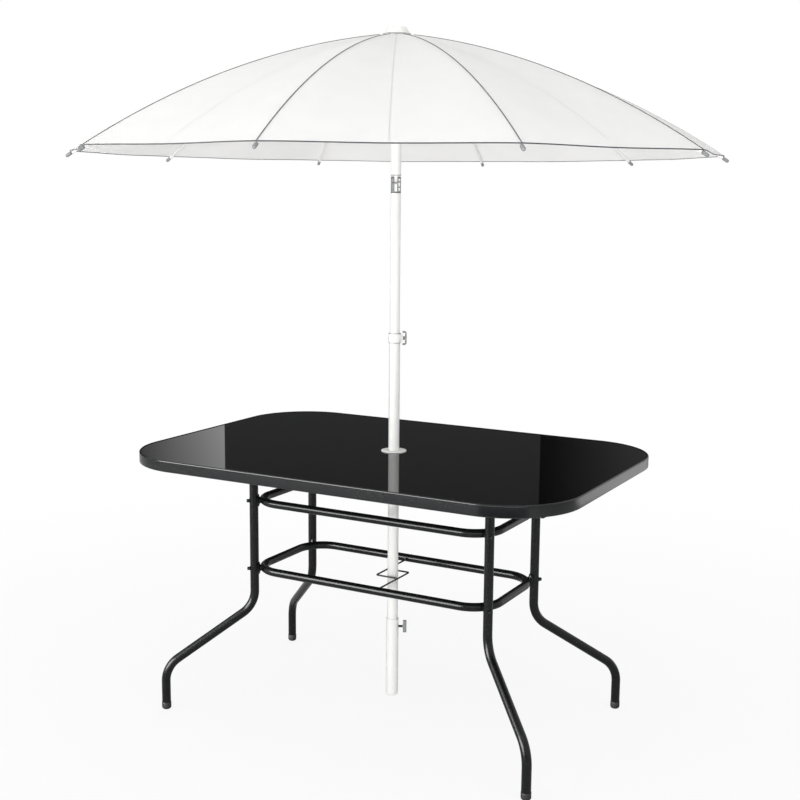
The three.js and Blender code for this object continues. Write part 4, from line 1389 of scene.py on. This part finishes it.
# Where the linkage lies when the canopy is open
rib_shoulder = rib_width / 2 * math.tan(half_gore) * math.sin(hem_slope)
rib_top_depth = canopy_thickness + gap + rib_shoulder
pivot_r, pivot_z = canopy_point(canopy_share(stretcher_pivot_radius), rib_top_depth + rib_depth / 2)
runner_height = 2 * pivot_z - hinge_height
stretcher_length = math.hypot(pivot_r - hinge_radius, pivot_z - runner_height)


def spoke_place(index):
    """The frame of a rib: on the umbrella's axis, x along the rib."""
    return Matrix.Rotation(umbrella_turn + 2 * half_gore * index, 4, "Z")


def make_slotted(name, corners, edge, low, high, slot_start, pin_height, body, node):
    """A turned fitting whose flange, from low to high, has a slot and a hinge pin for each rib."""
    fitting = bare_piece(name, lathe(corners, edge))
    half = slot_width / 2
    low_corner = (slot_start, -half, low - cutter_overrun)
    slot = block(low_corner, (hub_radius + slot_end_room, half, high + cutter_overrun))
    turns = [Matrix.Rotation(2 * half_gore * i, 4, "Z") for i in range(rib_count)]
    cut(fitting, [joined([moved(slot, turn) for turn in turns])])
    fitting.data.transform(pole_place)
    finish_piece(fitting, "white_plastic", body, [node], crisp_angle, thin_edge)
    reach = half + hinge_pin_lap
    pin = bar(hinge_pin, (hinge_radius, -reach, pin_height), (hinge_radius, reach, pin_height), pin_sides)
    pins = joined([moved(pin, turn) for turn in turns])
    make_piece(f"{name}_pins", pins, "bright_steel", body, pole_place)


def make_hub():
    """Slotted disc at the crown, on a neck that plugs into the crown pole."""
    neck_low = hub_bottom - hub_neck_length
    disc = [
        (0, neck_low),
        (pole_plug, neck_low),
        (pole_plug, hub_bottom),
        (hub_radius, hub_bottom),
        (hub_radius, hub_top),
        (0, hub_top),
    ]
    make_slotted(
        "crown_disc",
        disc,
        hub_edge,
        low=hub_bottom,
        high=hub_top,
        slot_start=hub_slot_start,
        pin_height=hinge_height,
        body="head",
        node="crown_hub",
    )


def make_finial():
    """Low domed cap with a flat top that clamps the cloth at the crown, and the line round its brim."""
    low = crown_height + gap
    brim = canopy_point(canopy_share(finial_radius))[1] + gap
    cap = [
        (0, low),
        (canopy_start_radius, low),
        (finial_radius - finial_brim, brim + finial_brim_foot),
        (finial_radius, brim + finial_brim_height),
        (finial_top_radius + finial_shoulder, low + finial_shoulder_share * finial_height),
        (finial_top_radius, low + finial_top_share * finial_height),
        (0, low + finial_height),
    ]
    shape = lathe(cap, finial_round, steps=round_steps)
    make_piece("crown_cap", shape, "white_plastic", "head", pole_place, ["finial"])
    line = [(finial_radius + out, brim + up) for out, up in finial_line]
    make_piece("crown_cap_line", lathe(line, line_edge), "piping", "head", pole_place)


def make_runner():
    """Sleeve on the pole with a slotted flange for the stretchers."""
    low = runner_height - runner_flange_height / 2
    high = runner_height + runner_flange_height / 2
    bore = upper_pole + runner_clearance
    skirt = low - runner_skirt_length
    collar = [
        (bore, skirt),
        (runner_radius, skirt),
        (runner_radius, low),
        (hub_radius, low),
        (hub_radius, high),
        (bore, high),
    ]
    make_slotted(
        "runner_sleeve",
        collar,
        soft_edge,
        low=low,
        high=high,
        slot_start=runner_radius,
        pin_height=runner_height,
        body="runner",
        node="runner",
    )


def make_rib(index):
    """Pressed steel rib that follows the cloth, with its eye at the hub and its tip past the hem."""
    number = f"{index + 1:02d}"
    body = f"rib_{number}"
    place = spoke_place(index)
    shares = [i / rib_steps for i in range(rib_steps + 1)]
    top = [canopy_point(share, rib_top_depth) for share in shares]
    bottom = [canopy_point(share, rib_top_depth + rib_depth) for share in shares]
    eye = arc((hinge_radius, hinge_height), rib_eye, math.pi / 2, 3 * math.pi / 2, half_turn_steps)
    rib = plate([*eye, *bottom, *reversed(top)], rib_width)
    make_piece(f"rib_bar_{number}", rib, "white_steel", body, place, [body], crisp_angle, rib_edge_round)
    end_r, end_z = canopy_point(1, rib_top_depth + rib_depth / 2)
    tip = [
        (0, 0),
        (rib_tip_mouth, 0),
        (rib_tip_radius, rib_tip_flare),
        (rib_tip_radius, rib_tip_length - rib_tip_taper),
        (rib_tip_nose, rib_tip_length - rib_tip_nose_drop),
        (0, rib_tip_length),
    ]
    lay = shift(end_r, 0, end_z) @ Matrix.Rotation(math.pi / 2 + hem_slope, 4, "Y")
    cap = moved(lathe(tip, rib_tip_round, fitting_sides), lay)
    make_piece(f"rib_tip_{number}", cap, "grey_plastic", body, place)


def make_stretcher(index):
    """Stretcher with a folded fork astride the rib and a rivet through both."""
    number = f"{index + 1:02d}"
    body = f"stretcher_{number}"
    half = stretcher_depth / 2
    reach = stretcher_length
    fork_start = reach - fork_length
    slot_start = reach - fork_slot_length
    opening = stretcher_eye_opening
    eye = arc((0, 0), stretcher_eye, opening, 2 * math.pi - opening, half_turn_steps)
    round_end = arc((reach, 0), half, -math.pi / 2, math.pi / 2, half_turn_steps)
    wall = plate([*round_end, (fork_start, half), (fork_start, -half)], fork_wall)
    offset = slot_width / 2 + fork_wall / 2
    shapes = [plate([*eye, (slot_start, -half), (slot_start, half)], rib_width)]
    shapes += [moved(wall, shift(0, side, 0)) for side in (-offset, offset)]
    shapes.append(plate(oblong(fork_start, slot_start, -half, half), slot_width))
    lean = math.atan2(pivot_z - runner_height, pivot_r - hinge_radius)
    hinge = shift(hinge_radius, 0, runner_height)
    place = spoke_place(index) @ hinge @ Matrix.Rotation(-lean, 4, "Y")
    make_piece(f"stretcher_bar_{number}", joined(shapes), "white_steel", body, place, [body], crisp_angle)
    head = lathe(fork_rivet_head, rubber_edge, wire_sides)
    end = offset + fork_rivet_lap
    rivet = [bar(fork_rivet, (reach, -end, 0), (reach, end, 0), wire_sides)]
    for side in (1, -1):
        seat = shift(reach, side * (offset + fork_rivet_seat), 0)
        rivet.append(moved(head, seat @ Matrix.Rotation(-side * math.pi / 2, 4, "X")))
    make_piece(f"stretcher_rivet_{number}", joined(rivet), "bright_steel", body, place)


# Canopy cloth
def cloth_point(share, turn, depth=0):
    """A point of one panel pair, centred on its rib: straight from rib to rib, drawn in a little."""
    away = math.sqrt(turn ** 2 + seam_round ** 2) - seam_round
    away = min(away * half_gore / (math.sqrt(half_gore ** 2 + seam_round ** 2) - seam_round), half_gore)
    inside = min(max(share, 0), 1)
    sag_share = math.sin(math.pi * inside ** sag_lead) + hem_sag_share * inside
    sag = panel_sag * sag_share * math.sin(math.pi / 2 * away / half_gore) ** 2
    radius, height = canopy_point(share, depth + sag)
    chord = math.cos(half_gore) / math.cos(half_gore - away)
    return Vector((radius * chord * math.cos(turn), radius * chord * math.sin(turn), height))


def cloth_rows():
    """Shares of the canopy's arc at which the cloth has a row of points."""
    return [i / canopy_rows for i in range(canopy_rows + 1)]


def cloth_turns():
    """Angles from the rib at which a row of cloth has its points."""
    return [half_gore * (2 * i / canopy_columns - 1) for i in range(canopy_columns + 1)]


def cloth_shape():
    """The cloth of one rib: two layers that meet along its edges."""
    layers = []
    for depth in (0, canopy_thickness):
        hub_row = []
        for turn in cloth_turns():
            x, y = canopy_hole_radius * math.cos(turn), canopy_hole_radius * math.sin(turn)
            hub_row.append(Vector((x, y, crown_height - depth)))
        rows = [[cloth_point(share, turn, depth) for turn in cloth_turns()] for share in cloth_rows()]
        layers.append([hub_row, *rows])
    return loft([[*upper, *reversed(lower)] for upper, lower in zip(*layers)], caps=True)


def make_panel(index):
    """The cloth that one rib carries, from mid-panel to mid-panel, with the cords on its seam and hem."""
    number = f"{index + 1:02d}"
    body = f"rib_{number}"
    place = spoke_place(index)
    cloth = make_piece(f"canopy_panel_{number}", cloth_shape(), "cloth", body, place, angle=cloth_angle)
    if index == 0:
        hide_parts("canopy")
    route = [cloth_point(share, 0, -seam_lift) for share in cloth_rows()[1:]]
    seam = swept(route, circle(seam_piping, cord_sides), (0, 1, 0))
    seam_cord = make_piece(f"seam_piping_{number}", seam, "piping", body, place)
    route = [cloth_point(1, turn, canopy_thickness / 2) for turn in cloth_turns()]
    hem = swept_free(route, circle(hem_piping, cord_sides))
    hem_cord = make_piece(f"hem_piping_{number}", hem, "piping", body, place)
    panel_area()
    for piece in (cloth, hem_cord):
        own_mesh(piece)


def panel_area():
    """Flat area of the cloth on one rib, in square metres: its width grows with its radius."""
    points = [canopy_point(share) for share in cloth_rows()]
    total = canopy_start_radius ** 2 * half_gore
    for near, far in zip(points, points[1:]):
        length = math.hypot(far[0] - near[0], far[1] - near[1])
        total += length * (near[0] + far[0]) * math.sin(half_gore)
    return total * mm * mm


# Studio
def stage_sheet(name, corners):
    """One flat face, in metres, for the floor or a panel, with an empty material."""
    mesh = bpy.data.meshes.new(name)
    mesh.from_pydata(corners, [], [tuple(range(len(corners)))])
    sheet = bpy.data.objects.new(name, mesh)
    bpy.context.scene.collection.objects.link(sheet)
    material = bpy.data.materials.new(name)
    material.use_nodes = True
    material.node_tree.nodes.clear()
    mesh.materials.append(material)
    return sheet, material.node_tree


def make_floor():
    """Pale floor that keeps a soft shadow and turns into the white backdrop further out."""
    corners = [(x, y, floor_height) for x, y in oblong(-floor_half, floor_half, -floor_half, floor_half)]
    _, tree = stage_sheet("studio_floor", corners)
    paper = add_node(tree, "ShaderNodeBsdfDiffuse", {"Color": linear("#f2f2f2")})
    glow = add_node(tree, "ShaderNodeEmission", {"Color": (1, 1, 1, 1), "Strength": 1})
    seen = add_node(tree, "ShaderNodeLightPath").outputs["Is Camera Ray"]
    place = add_node(tree, "ShaderNodeTexCoord").outputs["Object"]
    away = add_node(tree, "ShaderNodeVectorMath", {"operation": "LENGTH"}, {"Vector": place})
    limits = {
        "From Min": floor_near, "From Max": floor_far, "To Min": floor_near_share, "To Max": 1,
        "interpolation_type": "SMOOTHSTEP",
    }
    white = add_node(tree, "ShaderNodeMapRange", limits, {"Value": away.outputs["Value"]})
    factors = {0: seen, 1: white.outputs["Result"]}
    share = add_node(tree, "ShaderNodeMath", {"operation": "MULTIPLY"}, factors)
    shaders = {"Fac": share.outputs[0], 1: paper.outputs[0], 2: glow.outputs[0]}
    mixed = add_node(tree, "ShaderNodeMixShader", links=shaders)
    add_node(tree, "ShaderNodeOutputMaterial", links={"Surface": mixed.outputs[0]})


def make_gloss_panel(name, edge, along, width, low, high, stops):
    """An upright panel that only first reflections see; its glow runs through its stops.

    Dark stretches are the black flags of a studio, bright ones its reflectors.
    """
    edge, along = Vector(edge), Vector(along).normalized()
    far = edge + along * width
    corners = [(edge.x, edge.y, low), (far.x, far.y, low), (far.x, far.y, high), (edge.x, edge.y, high)]
    panel, tree = stage_sheet(name, corners)
    place = add_node(tree, "ShaderNodeTexCoord").outputs["Object"]
    metres = add_node(tree, "ShaderNodeVectorMath", {"operation": "DOT_PRODUCT"}, {0: place})
    metres.inputs[1].default_value = (along.x, along.y, 0)
    start = edge.dot(along)
    limits = {"From Min": start, "From Max": start + width}
    way = add_node(tree, "ShaderNodeMapRange", limits, {"Value": metres.outputs["Value"]})
    ramp = add_node(tree, "ShaderNodeValToRGB", links={"Fac": way.outputs["Result"]})
    marks = ramp.color_ramp.elements
    while len(marks) < len(stops):
        marks.new(0.5)
    for mark, (metres_in, strength) in zip(marks, stops):
        mark.position = metres_in / width
        mark.color = (*[strength / ramp_top] * 3, 1)
    depth = add_node(tree, "ShaderNodeLightPath").outputs["Ray Depth"]
    first_bounce = add_node(tree, "ShaderNodeMath", {"operation": "LESS_THAN"}, {0: depth})
    first_bounce.inputs[1].default_value = first_bounce_depth
    strength = add_node(tree, "ShaderNodeMath", {"operation": "MULTIPLY"}, {0: first_bounce.outputs[0]})
    strength.inputs[1].default_value = ramp_top
    light = {"Color": ramp.outputs["Color"], "Strength": strength.outputs[0]}
    glow = add_node(tree, "ShaderNodeEmission", links=light)
    add_node(tree, "ShaderNodeOutputMaterial", links={"Surface": glow.outputs[0]})
    panel.visible_camera = False
    panel.visible_diffuse = False
    panel.visible_transmission = False
    panel.visible_shadow = False


def make_world():
    """White backdrop to the camera, to gloss and through glass, and soft even light on the rest."""
    world = bpy.data.worlds.new("studio")
    bpy.context.scene.world = world
    world.use_nodes = True
    tree = world.node_tree
    tree.nodes.clear()
    rays = add_node(tree, "ShaderNodeLightPath")
    seen = rays.outputs["Is Camera Ray"]
    for kind in ("Is Glossy Ray", "Is Transmission Ray"):
        either = {0: seen, 1: rays.outputs[kind]}
        seen = add_node(tree, "ShaderNodeMath", {"operation": "MAXIMUM"}, either).outputs[0]
    shaders = {"Fac": seen}
    for socket, strength in ((1, soft_light_level), (2, 1)):
        settings = {"Color": (1, 1, 1, 1), "Strength": strength}
        shaders[socket] = add_node(tree, "ShaderNodeBackground", settings).outputs[0]
    sky = add_node(tree, "ShaderNodeMixShader", links=shaders)
    add_node(tree, "ShaderNodeOutputWorld", links={"Surface": sky.outputs[0]})


def make_lamp(name, place, target, size, energy, in_gloss):
    """A soft box aimed at a point; only those meant to show in gloss do."""
    lamp = bpy.data.lights.new(name, "AREA")
    lamp.shape = "RECTANGLE"
    lamp.size, lamp.size_y = size
    lamp.energy = energy
    holder = bpy.data.objects.new(name, lamp)
    holder.location = place
    holder.rotation_mode = "QUATERNION"
    holder.rotation_quaternion = (Vector(target) - Vector(place)).to_track_quat("-Z", "Y")
    holder.visible_camera = False
    holder.visible_glossy = in_gloss
    bpy.context.scene.collection.objects.link(holder)


def make_camera():
    """The photograph's viewpoint."""
    lens = bpy.data.cameras.new("photo_camera")
    lens.sensor_width = camera_sensor
    lens.lens = camera_lens
    lens.clip_end = camera_reach
    camera = bpy.data.objects.new("photo_camera", lens)
    camera.location = camera_place
    level = math.cos(camera_pitch)
    ahead = Vector((math.sin(camera_yaw) * level, math.cos(camera_yaw) * level, math.sin(camera_pitch)))
    right = Vector((math.cos(camera_yaw), -math.sin(camera_yaw), 0))
    up = right.cross(ahead)
    tilted_right = right * math.cos(camera_roll) + up * math.sin(camera_roll)
    tilted_up = up * math.cos(camera_roll) - right * math.sin(camera_roll)
    facing = Matrix((tilted_right, tilted_up, -ahead)).transposed()
    camera.rotation_mode = "QUATERNION"
    camera.rotation_quaternion = facing.to_quaternion()
    bpy.context.scene.collection.objects.link(camera)
    bpy.context.scene.camera = camera


make_camera()
make_rim()
make_glass()
make_hole_ring()
for leg_name, leg_spot in leg_places.items():
    make_leg(leg_name, corner_place(*leg_spot))
for ring_level in ring_heights:
    make_ring(ring_level)
make_holder()
make_poles()
make_base_screw()
make_collar()
make_collar_screw()
make_tilt_fork()
make_tilt_tongue()
make_tilt_button()
make_hub()
make_finial()
make_runner()
for spoke in range(rib_count):
    make_rib(spoke)
    make_stretcher(spoke)
    make_panel(spoke)
make_floor()
make_world()
for panel_name, panel_values in gloss_panels.items():
    make_gloss_panel(panel_name, *panel_values)
for lamp_name, lamp_values in lamps.items():
    make_lamp(lamp_name, *lamp_values)
bpy.context.scene.view_settings.view_transform = "Standard"
